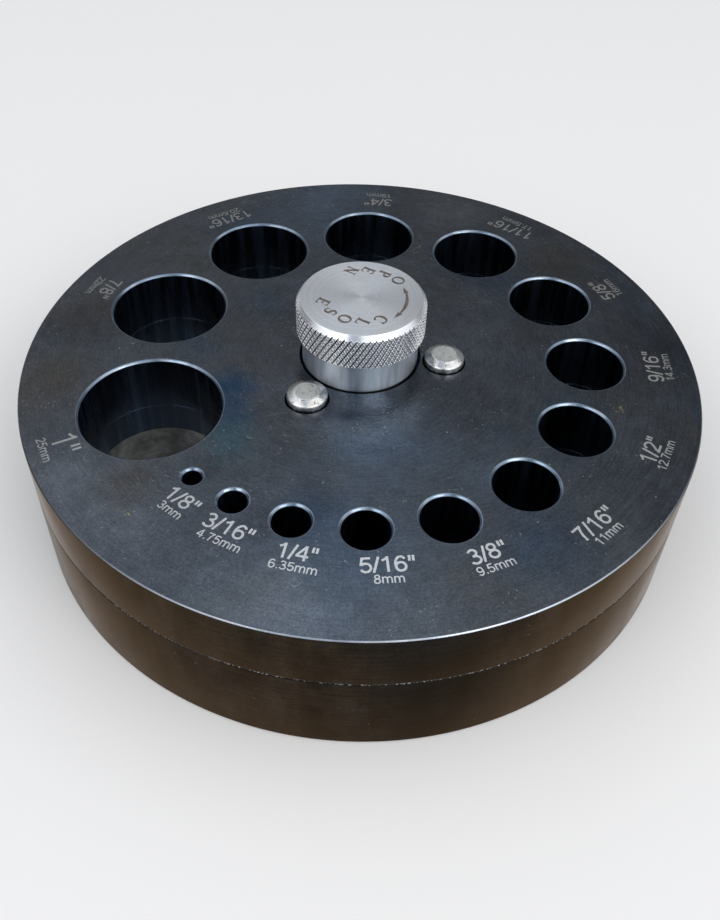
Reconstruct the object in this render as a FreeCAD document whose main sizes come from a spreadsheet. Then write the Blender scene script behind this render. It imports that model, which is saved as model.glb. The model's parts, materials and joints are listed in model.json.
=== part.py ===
import FreeCAD, Part
import math
import os
from types import SimpleNamespace

import Sketcher

# A jeweller's disc cutter: a guide plate over a die plate, with fourteen punch bores through both.
# The knob in the middle turns a lead screw, which lets three springs lift the guide plate off the
# die plate, or draws the plates together on a piece of sheet metal.
# The origin is the middle of the foot face, +Z is up, and -Y is the side that the user faces.
# The parts are drawn with the plates closed.

INCH = 25.4
SIXTEENTH = INCH / 16

# Driving dimensions, in millimetres and degrees. Each one is a cell of the sheet, under this name.
DRIVING = {
    # Plates
    "plate_radius": 63.5,
    "die_plate_height": 18.0,
    "guide_plate_height": 11.6,
    "foot_chamfer": 0.5,
    "seam_chamfer": 0.2,
    "rim_chamfer": 0.2,
    # Punch bores: the largest four lie on the inner ring, the others on the outer one
    "inner_ring_radius": 40.8,
    "outer_ring_radius": 42.9,
    "bore_mouth_chamfer": 0.4,
    "die_land": 6.35,
    "die_relief": 0.4,
    # Guide pins, pressed into the die plate
    "pin_count": 3,
    "pin_ring_radius": 16.1,
    "first_pin_angle": -125.4,
    "pin_radius": 3.8,
    "pin_running_gap": 0.2,
    "pin_hole_chamfer": 0.2,
    "pin_foot_level": 6.5,
    "pin_tip_rise": 1.8,
    "pin_tip_radius": 2.45,
    "pin_tip_length": 0.7,
    "pin_foot_chamfer": 0.4,
    # Lift springs round the pins, half in each plate
    "spring_pocket_radius": 5.4,
    "spring_pocket_in_die": 4.0,
    "spring_pocket_in_guide": 5.5,
    "spring_mean_radius": 4.65,
    "spring_wire_radius": 0.4,
    "spring_end_gap": 0.05,
    "spring_turns": 5,
    # Lead screw and its stop ring
    "screw_radius": 6.0,
    "screw_running_gap": 0.05,
    "screw_foot_level": 0.8,
    "screw_top_level": 38.0,
    "screw_top_chamfer": 0.6,
    "screw_foot_chamfer": 0.3,
    "ring_groove_radius": 5.2,
    "ring_level": 1.25,
    "ring_thickness": 1.2,
    "ring_radius": 7.3,
    "ring_mouth_width": 6.0,
    # Lead nut under the die plate, held by three screws
    "nut_recess_depth": 5.0,
    "nut_recess_radius": 16.2,
    "nut_flange_radius": 16.0,
    "nut_flange_thickness": 2.5,
    "nut_bush_radius": 9.5,
    "nut_bush_top_level": 13.0,
    "nut_ring_room_radius": 7.8,
    "nut_ring_room_level": 5.5,
    "die_screw_bore_radius": 6.6,
    "nut_screw_count": 3,
    "nut_screw_ring_radius": 12.7,
    "first_nut_screw_angle": -65.4,
    "nut_screw_radius": 1.5,
    "nut_screw_hole_radius": 1.6,
    "nut_screw_length": 7.0,
    "nut_screw_head_radius": 2.75,
    "nut_screw_head_height": 1.6,
    "nut_screw_head_bevel": 0.8,
    "nut_screw_socket_radius": 1.15,
    "nut_screw_socket_depth": 0.9,
    # Knob: its collar turns on two thrust washers in the guide plate's counterbore
    "counterbore_radius": 11.6,
    "counterbore_depth": 4.0,
    "washer_outer_radius": 11.0,
    "washer_inner_radius": 6.3,
    "bronze_washer_thickness": 1.0,
    "steel_washer_thickness": 0.6,
    "collar_radius": 11.0,
    "collar_rise": 6.05,
    "knob_rise": 13.4,
    "knob_radius": 12.05,
    "knob_top_radius": 11.25,
    "knob_bevel_height": 1.05,
    "knob_under_bevel": 0.5,
    "cross_pin_radius": 1.0,
    "cross_hole_gap": 0.02,
    "cross_pin_length": 20.6,
    "cross_pin_level": 28.4,
}

# Bore diameters in sixteenths of an inch, in their order round the plate, anticlockwise from above.
BORE_SIXTEENTHS = (16, 2, 3, 4, 5, 6, 7, 8, 9, 10, 11, 12, 13, 14)
SMALLEST_INNER_SIXTEENTHS = 12
FIRST_BORE_ANGLE = -155.8
# Metal left between neighbouring bores: up to 9/16 inch, above that, and where the two rings meet.
SMALL_WEB = 4.9
LARGE_WEB = 5.1
RING_CHANGE_WEB = 5.75
LARGEST_SMALL_SIXTEENTHS = 9

TRIG = {"cos": math.cos, "sin": math.sin}
HEXAGON = 6
OVERCUT = 1.0
SAME_PLACE = 1e-6
DIGITS_KEPT = 9


class Dim:
    """A size: its number, and the sheet expression that gives the same number."""

    def __init__(self, number, text):
        self.number = number
        self.text = text

    def combined(self, other, sign, number):
        other_text = other.text if isinstance(other, Dim) else repr(float(other))
        return Dim(number, f"({self.text} {sign} {other_text})")

    def __add__(self, other):
        return self.combined(other, "+", self.number + number_of(other))

    def __sub__(self, other):
        return self.combined(other, "-", self.number - number_of(other))

    def __mul__(self, other):
        return self.combined(other, "*", self.number * number_of(other))

    def trig(self, name):
        return Dim(TRIG[name](math.radians(self.number)), f"{name}({self.text})")


def number_of(thing):
    return thing.number if isinstance(thing, Dim) else float(thing)


ZERO = Dim(0.0, "0")


def polar(radius, angle):
    """The two coordinates of a point at this radius and angle."""
    return radius * angle.trig("cos"), radius * angle.trig("sin")


# ---------------------------------------------------------------- sheet


def inner_ring(sixteenths):
    return sixteenths >= SMALLEST_INNER_SIXTEENTHS


def ring_radius_of(sixteenths):
    return DRIVING["inner_ring_radius" if inner_ring(sixteenths) else "outer_ring_radius"]


def web_before(sixteenths):
    """The metal between this bore and the smaller one before it."""
    if sixteenths == SMALLEST_INNER_SIXTEENTHS:
        return RING_CHANGE_WEB
    return SMALL_WEB if sixteenths <= LARGEST_SMALL_SIXTEENTHS else LARGE_WEB


def step_angle(first, second):
    """The angle between two neighbouring bores that leaves the web between them."""
    apart = (first + second) * SIXTEENTH / 2 + web_before(second)
    near = ring_radius_of(first)
    far = ring_radius_of(second)
    return math.degrees(math.acos((near**2 + far**2 - apart**2) / (2 * near * far)))


def bore_cells():
    """The diameter and angle of every bore, as cells for the sheet."""
    cells = {}
    angle = FIRST_BORE_ANGLE
    for index, sixteenths in enumerate(BORE_SIXTEENTHS):
        if index:
            angle += step_angle(BORE_SIXTEENTHS[index - 1], sixteenths)
        cells[f"bore_{sixteenths}_angle"] = round(angle, 3)
        cells[f"bore_{sixteenths}_radius"] = sixteenths * SIXTEENTH / 2
    return cells


def make_sheet(doc):
    """Write the cells, and give back each as a Dim under its own name."""
    sheet = doc.addObject("Spreadsheet::Sheet", "dims")
    cells = dict(DRIVING)
    cells.update(bore_cells())
    for row, (alias, value) in enumerate(cells.items(), start=1):
        sheet.set(f"A{row}", alias)
        sheet.set(f"B{row}", str(value))
        sheet.setAlias(f"B{row}", alias)
    doc.recompute()
    return SimpleNamespace(**{alias: Dim(value, f"dims.{alias}") for alias, value in cells.items()})


# ---------------------------------------------------------------- sketches and features


def origin_plane(body, role):
    return next(item for item in body.Origin.OriginFeatures if item.Role == role)


def new_sketch(body, name, role, level=ZERO):
    sketch = body.newObject("Sketcher::SketchObject", name)
    sketch.AttachmentSupport = (origin_plane(body, role), [""])
    sketch.MapMode = "FlatFace"
    if level is not ZERO:
        sketch.setExpression(".AttachmentOffset.Base.z", level.text)
    return sketch


def bind(sketch, constraint, size):
    index = sketch.addConstraint(constraint)
    sketch.setExpression(f"Constraints[{index}]", size.text)


def place_point(sketch, geometry, point, across, up):
    """Hold a point of the sketch at two bound distances from the origin."""
    for kind, axis, size in (("DistanceX", -2, across), ("DistanceY", -1, up)):
        if size.number == 0.0:
            sketch.addConstraint(Sketcher.Constraint("PointOnObject", geometry, point, axis))
        else:
            held = Sketcher.Constraint(kind, -1, 1, geometry, point, size.number)
            bind(sketch, held, size)


def draw_outline(sketch, corners):
    """A closed outline of straight lines through bound corners."""
    places = [FreeCAD.Vector(across.number, up.number, 0) for across, up in corners]
    for index, place in enumerate(places):
        sketch.addGeometry(Part.LineSegment(place, places[(index + 1) % len(places)]), False)
    for index, (across, up) in enumerate(corners):
        following = (index + 1) % len(corners)
        sketch.addConstraint(Sketcher.Constraint("Coincident", index, 2, following, 1))
        place_point(sketch, index, 1, across, up)


def draw_circles(sketch, circles):
    """Circles as (across, up, radius), each bound to the sheet."""
    for across, up, radius in circles:
        middle = FreeCAD.Vector(across.number, up.number, 0)
        circle = Part.Circle(middle, FreeCAD.Vector(0, 0, 1), radius.number)
        index = sketch.addGeometry(circle, False)
        place_point(sketch, index, 3, across, up)
        bind(sketch, Sketcher.Constraint("Radius", index, radius.number), radius)


def new_body(doc, label, level=ZERO, across=ZERO, along=ZERO):
    body = doc.addObject("PartDesign::Body", label)
    body.Label = label
    for axis, size in (("x", across), ("y", along), ("z", level)):
        if size is not ZERO:
            body.setExpression(f".Placement.Base.{axis}", size.text)
    return body


def turned(body, corners):
    """A solid turned about Z from an outline of (radius, height) corners."""
    sketch = new_sketch(body, body.Label + "_outline", "XZ_Plane")
    draw_outline(sketch, corners)
    turning = body.newObject("PartDesign::Revolution", body.Label + "_turning")
    turning.Profile = sketch
    turning.ReferenceAxis = (sketch, ["V_Axis"])
    turning.Angle = 360
    return turning


def pocket(body, name, sketch, depth, upward):
    """Cut the sketch into the body, by a bound depth, along +Z or -Z, and check that it cut."""
    body.Document.recompute()
    before = body.Shape.Volume
    cut = body.newObject("PartDesign::Pocket", name)
    cut.Profile = sketch
    cut.Type = "Length"
    cut.Reversed = upward
    cut.setExpression("Length", depth.text)
    body.Document.recompute()
    if not body.Shape.Volume < before:
        raise RuntimeError(f"{name} cuts nothing")
    return cut


def drill(body, name, circles, depth, upward=True, level=ZERO):
    """Round holes along Z, from the level given."""
    sketch = new_sketch(body, name + "_sketch", "XY_Plane", level)
    draw_circles(sketch, circles)
    return pocket(body, name, sketch, depth, upward)


def chamfer_mouths(body, name, level, radii, size):
    """Chamfer the round edges that lie at this height and have one of these radii."""
    feature = body.Tip
    names = []
    for index, edge in enumerate(feature.Shape.Edges, start=1):
        if not isinstance(edge.Curve, Part.Circle):
            continue
        at_level = abs(edge.Curve.Center.z - level.number) < SAME_PLACE
        if at_level and any(abs(edge.Curve.Radius - radius.number) < SAME_PLACE for radius in radii):
            names.append(f"Edge{index}")
    chamfer = body.newObject("PartDesign::Chamfer", name)
    chamfer.Base = (feature, names)
    chamfer.setExpression("Size", size.text)
    body.Document.recompute()
    return chamfer


def ring_places(count, ring_radius, first_angle):
    """Evenly spaced places round the middle, as many as the count says."""
    number = int(count.number)
    return [polar(ring_radius, first_angle + 360.0 / number * index) for index in range(number)]


# ---------------------------------------------------------------- plates


def bore_circles(d, wider=ZERO):
    """One circle for each punch bore, wider all round by the size given."""
    circles = []
    for sixteenths in BORE_SIXTEENTHS:
        ring = d.inner_ring_radius if inner_ring(sixteenths) else d.outer_ring_radius
        radius = getattr(d, f"bore_{sixteenths}_radius")
        across, up = polar(ring, getattr(d, f"bore_{sixteenths}_angle"))
        circles.append((across, up, radius + wider))
    return circles


def pin_places(d):
    return ring_places(d.pin_count, d.pin_ring_radius, d.first_pin_angle)


def nut_screw_places(d):
    return ring_places(d.nut_screw_count, d.nut_screw_ring_radius, d.first_nut_screw_angle)


def bottom_die_plate(doc, d):
    """The lower plate: cutting lands with wider relief bores below, and the nut's recess."""
    body = new_body(doc, "bottom_die_plate")
    top = d.die_plate_height
    turned(body, [
        (d.die_screw_bore_radius, top),
        (d.die_screw_bore_radius, d.nut_bush_top_level),
        (d.nut_bush_radius, d.nut_bush_top_level),
        (d.nut_bush_radius, d.nut_recess_depth),
        (d.nut_recess_radius, d.nut_recess_depth),
        (d.nut_recess_radius, ZERO),
        (d.plate_radius - d.foot_chamfer, ZERO),
        (d.plate_radius, d.foot_chamfer),
        (d.plate_radius, top - d.seam_chamfer),
        (d.plate_radius - d.seam_chamfer, top),
    ])
    drill(body, "die_bores", bore_circles(d), top + OVERCUT)
    drill(body, "relief_bores", bore_circles(d, d.die_relief), top - d.die_land)
    pockets = [place + (d.spring_pocket_radius,) for place in pin_places(d)]
    drill(body, "spring_seats", pockets, d.spring_pocket_in_die, upward=False, level=top)
    pin_holes = [place + (d.pin_radius,) for place in pin_places(d)]
    drill(body, "pin_holes", pin_holes, top - d.pin_foot_level, upward=False, level=top)
    tapped = [place + (d.nut_screw_radius,) for place in nut_screw_places(d)]
    drill(body, "tapped_holes", tapped, d.nut_screw_length + d.nut_recess_depth - d.nut_flange_thickness)
    return body


def top_guide_plate(doc, d):
    """The upper plate, which steers the punches and slides on the guide pins."""
    body = new_body(doc, "top_guide_plate", level=d.die_plate_height)
    top = d.guide_plate_height
    floor = top - d.counterbore_depth
    journal = d.screw_radius + d.screw_running_gap
    turned(body, [
        (journal, ZERO),
        (d.plate_radius - d.seam_chamfer, ZERO),
        (d.plate_radius, d.seam_chamfer),
        (d.plate_radius, top - d.rim_chamfer),
        (d.plate_radius - d.rim_chamfer, top),
        (d.counterbore_radius, top),
        (d.counterbore_radius, floor),
        (journal, floor),
    ])
    drill(body, "guide_bores", bore_circles(d), top + OVERCUT)
    hole_radius = d.pin_radius + d.pin_running_gap
    holes = [place + (hole_radius,) for place in pin_places(d)]
    drill(body, "guide_pin_holes", holes, top + OVERCUT)
    mouth_radii = [radius for across, up, radius in bore_circles(d)]
    chamfer_mouths(body, "bore_mouths", top, mouth_radii, d.bore_mouth_chamfer)
    chamfer_mouths(body, "pin_hole_mouths", top, [hole_radius], d.pin_hole_chamfer)
    pockets = [place + (d.spring_pocket_radius,) for place in pin_places(d)]
    drill(body, "spring_pockets", pockets, d.spring_pocket_in_guide)
    return body


# ---------------------------------------------------------------- pins and springs


def guide_pins(doc, d):
    """Dowels pressed into the die plate, each with a bevelled tip above the guide plate."""
    length = d.die_plate_height + d.guide_plate_height + d.pin_tip_rise - d.pin_foot_level
    pins = []
    for number, (across, along) in enumerate(pin_places(d), start=1):
        body = new_body(doc, f"guide_pin_{number}", d.pin_foot_level, across, along)
        turned(body, [
            (ZERO, ZERO),
            (d.pin_radius - d.pin_foot_chamfer, ZERO),
            (d.pin_radius, d.pin_foot_chamfer),
            (d.pin_radius, length - d.pin_tip_length),
            (d.pin_tip_radius, length),
            (ZERO, length),
        ])
        pins.append(body)
    return pins


def lift_springs(doc, d):
    """Open coil springs round the pins, drawn as they stand between the closed plates."""
    foot = d.die_plate_height - d.spring_pocket_in_die
    room = d.spring_pocket_in_die + d.spring_pocket_in_guide
    margin = d.spring_wire_radius + d.spring_end_gap
    springs = []
    for number, (across, along) in enumerate(pin_places(d), start=1):
        label = f"lift_spring_{number}"
        body = new_body(doc, label, foot, across, along)
        sketch = new_sketch(body, label + "_wire", "XZ_Plane")
        draw_circles(sketch, [(d.spring_mean_radius, margin, d.spring_wire_radius)])
        doc.recompute()
        coil = body.newObject("PartDesign::AdditiveHelix", label + "_coil")
        coil.Profile = sketch
        coil.ReferenceAxis = (sketch, ["V_Axis"])
        coil.Mode = "height-turns-angle"
        coil.setExpression("Height", (room - margin * 2).text)
        coil.setExpression("Turns", d.spring_turns.text)
        springs.append(body)
    return springs


# ---------------------------------------------------------------- lead nut


def lead_nut(doc, d):
    """A flanged bronze bush whose flange pulls up against the die plate."""
    body = new_body(doc, "lead_nut", level=d.nut_recess_depth - d.nut_flange_thickness)
    bore = d.screw_radius + d.screw_running_gap
    foot = d.nut_recess_depth - d.nut_flange_thickness
    turned(body, [
        (d.nut_ring_room_radius, ZERO),
        (d.nut_flange_radius, ZERO),
        (d.nut_flange_radius, d.nut_flange_thickness),
        (d.nut_bush_radius, d.nut_flange_thickness),
        (d.nut_bush_radius, d.nut_bush_top_level - foot),
        (bore, d.nut_bush_top_level - foot),
        (bore, d.nut_ring_room_level - foot),
        (d.nut_ring_room_radius, d.nut_ring_room_level - foot),
    ])
    holes = [place + (d.nut_screw_hole_radius,) for place in nut_screw_places(d)]
    drill(body, "nut_screw_holes", holes, d.nut_flange_thickness + OVERCUT)
    return body


def hexagon(radius):
    """The corners of a hexagon that lie at this radius. Rounding puts two exactly on the X axis."""
    corners = []
    for index in range(HEXAGON):
        turn = 2 * math.pi / HEXAGON * index
        across = round(math.cos(turn), DIGITS_KEPT)
        up = round(math.sin(turn), DIGITS_KEPT)
        corners.append((radius * across, radius * up))
    return corners


def nut_screws(doc, d):
    """Button-head screws from below, through the nut's flange into the die plate."""
    head = d.nut_screw_head_height
    level = d.nut_recess_depth - d.nut_flange_thickness - head
    screws = []
    for number, (across, along) in enumerate(nut_screw_places(d), start=1):
        label = f"nut_screw_{number}"
        body = new_body(doc, label, level, across, along)
        turned(body, [
            (ZERO, ZERO),
            (d.nut_screw_head_radius - d.nut_screw_head_bevel, ZERO),
            (d.nut_screw_head_radius, d.nut_screw_head_bevel),
            (d.nut_screw_head_radius, head),
            (d.nut_screw_radius, head),
            (d.nut_screw_radius, head + d.nut_screw_length),
            (ZERO, head + d.nut_screw_length),
        ])
        socket = new_sketch(body, label + "_hexagon", "XY_Plane")
        draw_outline(socket, hexagon(d.nut_screw_socket_radius))
        pocket(body, label + "_socket", socket, d.nut_screw_socket_depth, upward=True)
        screws.append(body)
    return screws


# ---------------------------------------------------------------- knob and screw


def knob_foot_level(d):
    """The level at which the collar stands on its washers."""
    floor = d.die_plate_height + d.guide_plate_height - d.counterbore_depth
    return floor + d.bronze_washer_thickness + d.steel_washer_thickness


def cross_hole(body, d, body_level):
    """The hole for the cross pin, right through along X."""
    sketch = new_sketch(body, body.Label + "_cross_sketch", "YZ_Plane", d.collar_radius * -1.0 - OVERCUT)
    draw_circles(sketch, [(ZERO, d.cross_pin_level - body_level, d.cross_pin_radius + d.cross_hole_gap)])
    return pocket(body, body.Label + "_cross_hole", sketch, (d.collar_radius + OVERCUT) * 2, upward=True)


def clamp_knob(doc, d):
    """The knurled head, the smooth neck and the collar, turned from one bar."""
    level = knob_foot_level(d)
    body = new_body(doc, "clamp_knob", level=level)
    face = d.die_plate_height + d.guide_plate_height
    neck_top = face + d.collar_rise - level
    top = face + d.knob_rise - level
    turned(body, [
        (ZERO, top),
        (ZERO, d.screw_top_level - level),
        (d.screw_radius, d.screw_top_level - level),
        (d.screw_radius, ZERO),
        (d.collar_radius, ZERO),
        (d.collar_radius, neck_top),
        (d.knob_radius - d.knob_under_bevel, neck_top),
        (d.knob_radius, neck_top + d.knob_under_bevel),
        (d.knob_radius, top - d.knob_bevel_height),
        (d.knob_top_radius, top),
    ])
    cross_hole(body, d, level)
    return body


def clamp_screw(doc, d):
    """The lead screw, with a groove for the stop ring near its foot."""
    level = d.screw_foot_level
    body = new_body(doc, "clamp_screw", level=level)
    top = d.screw_top_level - level
    groove = d.ring_level - level
    turned(body, [
        (ZERO, ZERO),
        (d.screw_radius - d.screw_foot_chamfer, ZERO),
        (d.screw_radius, d.screw_foot_chamfer),
        (d.screw_radius, groove),
        (d.ring_groove_radius, groove),
        (d.ring_groove_radius, groove + d.ring_thickness),
        (d.screw_radius, groove + d.ring_thickness),
        (d.screw_radius, top - d.screw_top_chamfer),
        (d.screw_radius - d.screw_top_chamfer, top),
        (ZERO, top),
    ])
    cross_hole(body, d, level)
    return body


def knob_cross_pin(doc, d):
    """The pin that fixes the knob to the screw, hidden in the counterbore."""
    pin = doc.addObject("Part::Cylinder", "knob_cross_pin")
    pin.Label = "knob_cross_pin"
    pin.Placement = FreeCAD.Placement(FreeCAD.Vector(), FreeCAD.Rotation(FreeCAD.Vector(0, 1, 0), 90))
    pin.setExpression("Radius", d.cross_pin_radius.text)
    pin.setExpression("Height", d.cross_pin_length.text)
    pin.setExpression(".Placement.Base.x", (d.cross_pin_length * -0.5).text)
    pin.setExpression(".Placement.Base.z", d.cross_pin_level.text)
    return pin


def washer(doc, label, d, level, thickness):
    body = new_body(doc, label, level=level)
    turned(body, [
        (d.washer_inner_radius, ZERO),
        (d.washer_outer_radius, ZERO),
        (d.washer_outer_radius, thickness),
        (d.washer_inner_radius, thickness),
    ])
    return body


def thrust_washers(doc, d):
    """Bronze on the counterbore's floor, steel under the collar."""
    floor = d.die_plate_height + d.guide_plate_height - d.counterbore_depth
    bronze = washer(doc, "thrust_washer_bronze", d, floor, d.bronze_washer_thickness)
    steel_level = floor + d.bronze_washer_thickness
    steel = washer(doc, "thrust_washer_steel", d, steel_level, d.steel_washer_thickness)
    return [bronze, steel]


def screw_stop_ring(doc, d):
    """The open ring in the screw's groove: it meets the nut when the plates are fully open."""
    body = new_body(doc, "screw_stop_ring", level=d.ring_level)
    turned(body, [
        (d.ring_groove_radius, ZERO),
        (d.ring_radius, ZERO),
        (d.ring_radius, d.ring_thickness),
        (d.ring_groove_radius, d.ring_thickness),
    ])
    side = d.ring_mouth_width * 0.5
    far = d.ring_radius + OVERCUT
    mouth = new_sketch(body, "ring_mouth_sketch", "XY_Plane")
    draw_outline(mouth, [
        (side * -1.0, ZERO),
        (side, ZERO),
        (side, far),
        (side * -1.0, far),
    ])
    pocket(body, "ring_mouth", mouth, d.ring_thickness + OVERCUT, upward=True)
    return body


# ---------------------------------------------------------------- whole


def build_all(doc, d):
    pieces = [bottom_die_plate(doc, d), top_guide_plate(doc, d)]
    pieces += guide_pins(doc, d)
    pieces += lift_springs(doc, d)
    pieces.append(lead_nut(doc, d))
    pieces += nut_screws(doc, d)
    pieces.append(clamp_knob(doc, d))
    pieces.append(clamp_screw(doc, d))
    pieces.append(knob_cross_pin(doc, d))
    pieces += thrust_washers(doc, d)
    pieces.append(screw_stop_ring(doc, d))
    return pieces


def check(doc, pieces):
    """Stop if anything in the document failed, or a piece is not one valid solid."""
    failed = [item.Label for item in doc.Objects if "Invalid" in item.State or "Error" in item.State]
    if failed:
        raise RuntimeError("failed: " + ", ".join(failed))
    for piece in pieces:
        shape = piece.Shape
        if shape.isNull() or not shape.isValid() or len(shape.Solids) != 1:
            raise RuntimeError(piece.Label + " is not one valid solid")


def main():
    doc = FreeCAD.newDocument("disc_cutter")
    dims = make_sheet(doc)
    pieces = build_all(doc, dims)
    doc.recompute()
    check(doc, pieces)
    os.makedirs("parts", exist_ok=True)
    for piece in pieces:
        piece.Shape.exportStep(f"parts/{piece.Label}.step")
        print(f"{piece.Label}: {piece.Shape.Volume:.1f} mm3")


main()
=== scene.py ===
import json
import math

import bmesh
import bpy
from mathutils import Matrix, Vector
from mathutils.geometry import delaunay_2d_cdt


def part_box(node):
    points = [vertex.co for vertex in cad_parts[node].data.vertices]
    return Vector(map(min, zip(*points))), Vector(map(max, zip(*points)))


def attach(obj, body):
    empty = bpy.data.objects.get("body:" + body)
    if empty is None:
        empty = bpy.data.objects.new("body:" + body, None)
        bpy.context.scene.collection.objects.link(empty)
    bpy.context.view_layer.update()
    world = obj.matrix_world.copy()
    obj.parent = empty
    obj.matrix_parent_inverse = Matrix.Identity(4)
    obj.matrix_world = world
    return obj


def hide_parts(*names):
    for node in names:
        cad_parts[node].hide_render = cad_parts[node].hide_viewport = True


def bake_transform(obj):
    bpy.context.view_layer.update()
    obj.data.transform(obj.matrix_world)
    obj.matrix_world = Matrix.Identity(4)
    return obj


# The looks of a jeweller's disc cutter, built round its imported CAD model.
# Shapes are worked out in millimetres, and turned into metres when a piece is made.

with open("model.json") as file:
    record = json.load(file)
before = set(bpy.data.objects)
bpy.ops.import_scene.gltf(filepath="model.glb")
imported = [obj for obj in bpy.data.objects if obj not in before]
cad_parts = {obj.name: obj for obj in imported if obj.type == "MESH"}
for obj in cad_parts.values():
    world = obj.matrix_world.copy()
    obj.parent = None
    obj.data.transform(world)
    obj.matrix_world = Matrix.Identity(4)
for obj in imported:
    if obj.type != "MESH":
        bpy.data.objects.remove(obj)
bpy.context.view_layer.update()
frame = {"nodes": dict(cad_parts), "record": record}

MM = 0.001
INCH = 25.4


def levels_of(node):
    """The lowest and the highest level of a CAD node."""
    low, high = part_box(node)
    return low.z / MM, high.z / MM


def radius_of(node):
    """The radius of a CAD node round the Z axis."""
    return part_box(node)[1].x / MM


DIE_TOP = levels_of("bottom_die_plate")[1]
GUIDE_TOP = levels_of("top_guide_plate")[1]
KNOB_FOOT, KNOB_TOP = levels_of("clamp_knob")
SCREW_TOP = levels_of("clamp_screw")[1]
PLATE_RADIUS = radius_of("top_guide_plate")
KNOB_RADIUS = radius_of("clamp_knob")
SCREW_RADIUS = radius_of("clamp_screw")

# Sizes of the plates, which the frame's boxes don't give.
FOOT_CHAMFER = 0.5
SEAM_CHAMFER = 0.2
RIM_CHAMFER = 0.2
BORE_CHAMFER = 0.4
DIE_LAND = 6.35
DIE_RELIEF = 0.4
EDGE_BREAK = 0.015
EDGE_BEND = 0.05
LIP_BEND = 0.12
PIN_HOLE_RADIUS = 4.0
PIN_HOLE_CHAMFER = 0.2
PIN_SOCKET_FOOT = 6.5
POCKET_RADIUS = 5.4
SPRING_SEAT = 14.0
POCKET_TOP = 23.5
COUNTERBORE_RADIUS = 11.6
COUNTERBORE_FLOOR = 25.6
GUIDE_SCREW_BORE = 6.05
DIE_SCREW_BORE = 6.6
NUT_BUSH_RADIUS = 9.5
NUT_BUSH_TOP = 13.0
NUT_RECESS_RADIUS = 16.2
NUT_RECESS_TOP = 5.0
NUT_SCREW_RADIUS = 1.5
NUT_SCREW_TOP = 9.5

# Sizes of the knob.
KNOB_MARK_TURN = -30.0
BEVEL_TOP_RADIUS = 11.25
BEVEL_HEIGHT = 1.05
UNDER_BEVEL = 0.5
COLLAR_RADIUS = 11.0
COLLAR_TOP = 35.65
COLLAR_CHAMFER = 0.3
COLLAR_TOP_BEND = 0.1
COLLAR_FOOT_BEND = 0.06
BRIGHT_HEIGHT = 0.3
KNURL_TOP = KNOB_TOP - BEVEL_HEIGHT
KNURL_FOOT = COLLAR_TOP + UNDER_BEVEL
KNURL_STARTS = 66
KNURL_SHARE = 12
KNURL_SEGMENTS = KNURL_STARTS * KNURL_SHARE
KNURL_ROWS = 35
RISING_DEPTH = 0.32
FALLING_DEPTH = 0.17
KNURL_FLANK = 2.2
FINE_DEPTH = 0.12
FINE_FLANK = 1.4
RISING_TURN = -147.0
FALLING_TURN = -60.3
RUN_OUT_STEP = 0.1
RUN_OUT_LEVELS = 11
UNDER_LEVELS = 4
LENGTHS_ALIKE = 1e-6
BEVEL_REACH = 0.02
KNOB_SHARP_ANGLE = 25.0

# The bronze washer, which the steel one turns on.
WASHER_BORE = 6.3
WASHER_CHAMFER = 0.1
WASHER_CLEARANCE = 0.01

# Guide pins.
PIN_RADIUS = 3.8
PIN_TIP_RADIUS = 2.45
PIN_TIP_LENGTH = 0.7
PIN_FOOT_CHAMFER = 0.4
PIN_TIP_BEND = 0.24
PIN_BEVEL_BEND = 0.36
PIN_FOOT_BEND = 0.15
PIN_ROUNDING_STEPS = 5

# Engraving.
MARK_DEPTH = 0.02
INCH_CAP_HEIGHT = 2.92
ONE_INCH_CAP_HEIGHT = 4.4
METRIC_CAP_HEIGHT = 1.62
KNOB_CAP_HEIGHT = 2.38

# ---------------------------------------------------------------- meshes

ROUNDING_STEPS = 3
LEAST_SEGMENTS = 48
EIGHTHS_A_MM = 1.6
FILL_PRECISION = 1e-5
WELD_REACH = 1e-6
SHARP_ANGLE = 32.0


def softened(corners, steps):
    """Points along an outline, with its corners rounded where they have a bend.

    A corner is (radius, level, finish), with the finish of the run after it, and then its bend if
    it has one: how far from the corner the rounding starts."""
    points = []
    for index, (radius, level, finish, *bend) in enumerate(corners):
        if not bend:
            points.append((radius, level, finish))
            continue
        here = Vector((radius, level))
        start = here + (Vector(corners[index - 1][:2]) - here).normalized() * bend[0]
        end = here + (Vector(corners[index + 1][:2]) - here).normalized() * bend[0]
        for step in range(steps + 1):
            share = step / steps
            point = start * (1 - share) ** 2 + here * 2 * share * (1 - share) + end * share**2
            points.append((*point, finish))
    return points


def sides_of(radius):
    """How many sides stand for a circle of this radius: a multiple of eight."""
    return max(LEAST_SEGMENTS, 8 * round(radius * EIGHTHS_A_MM))


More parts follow.
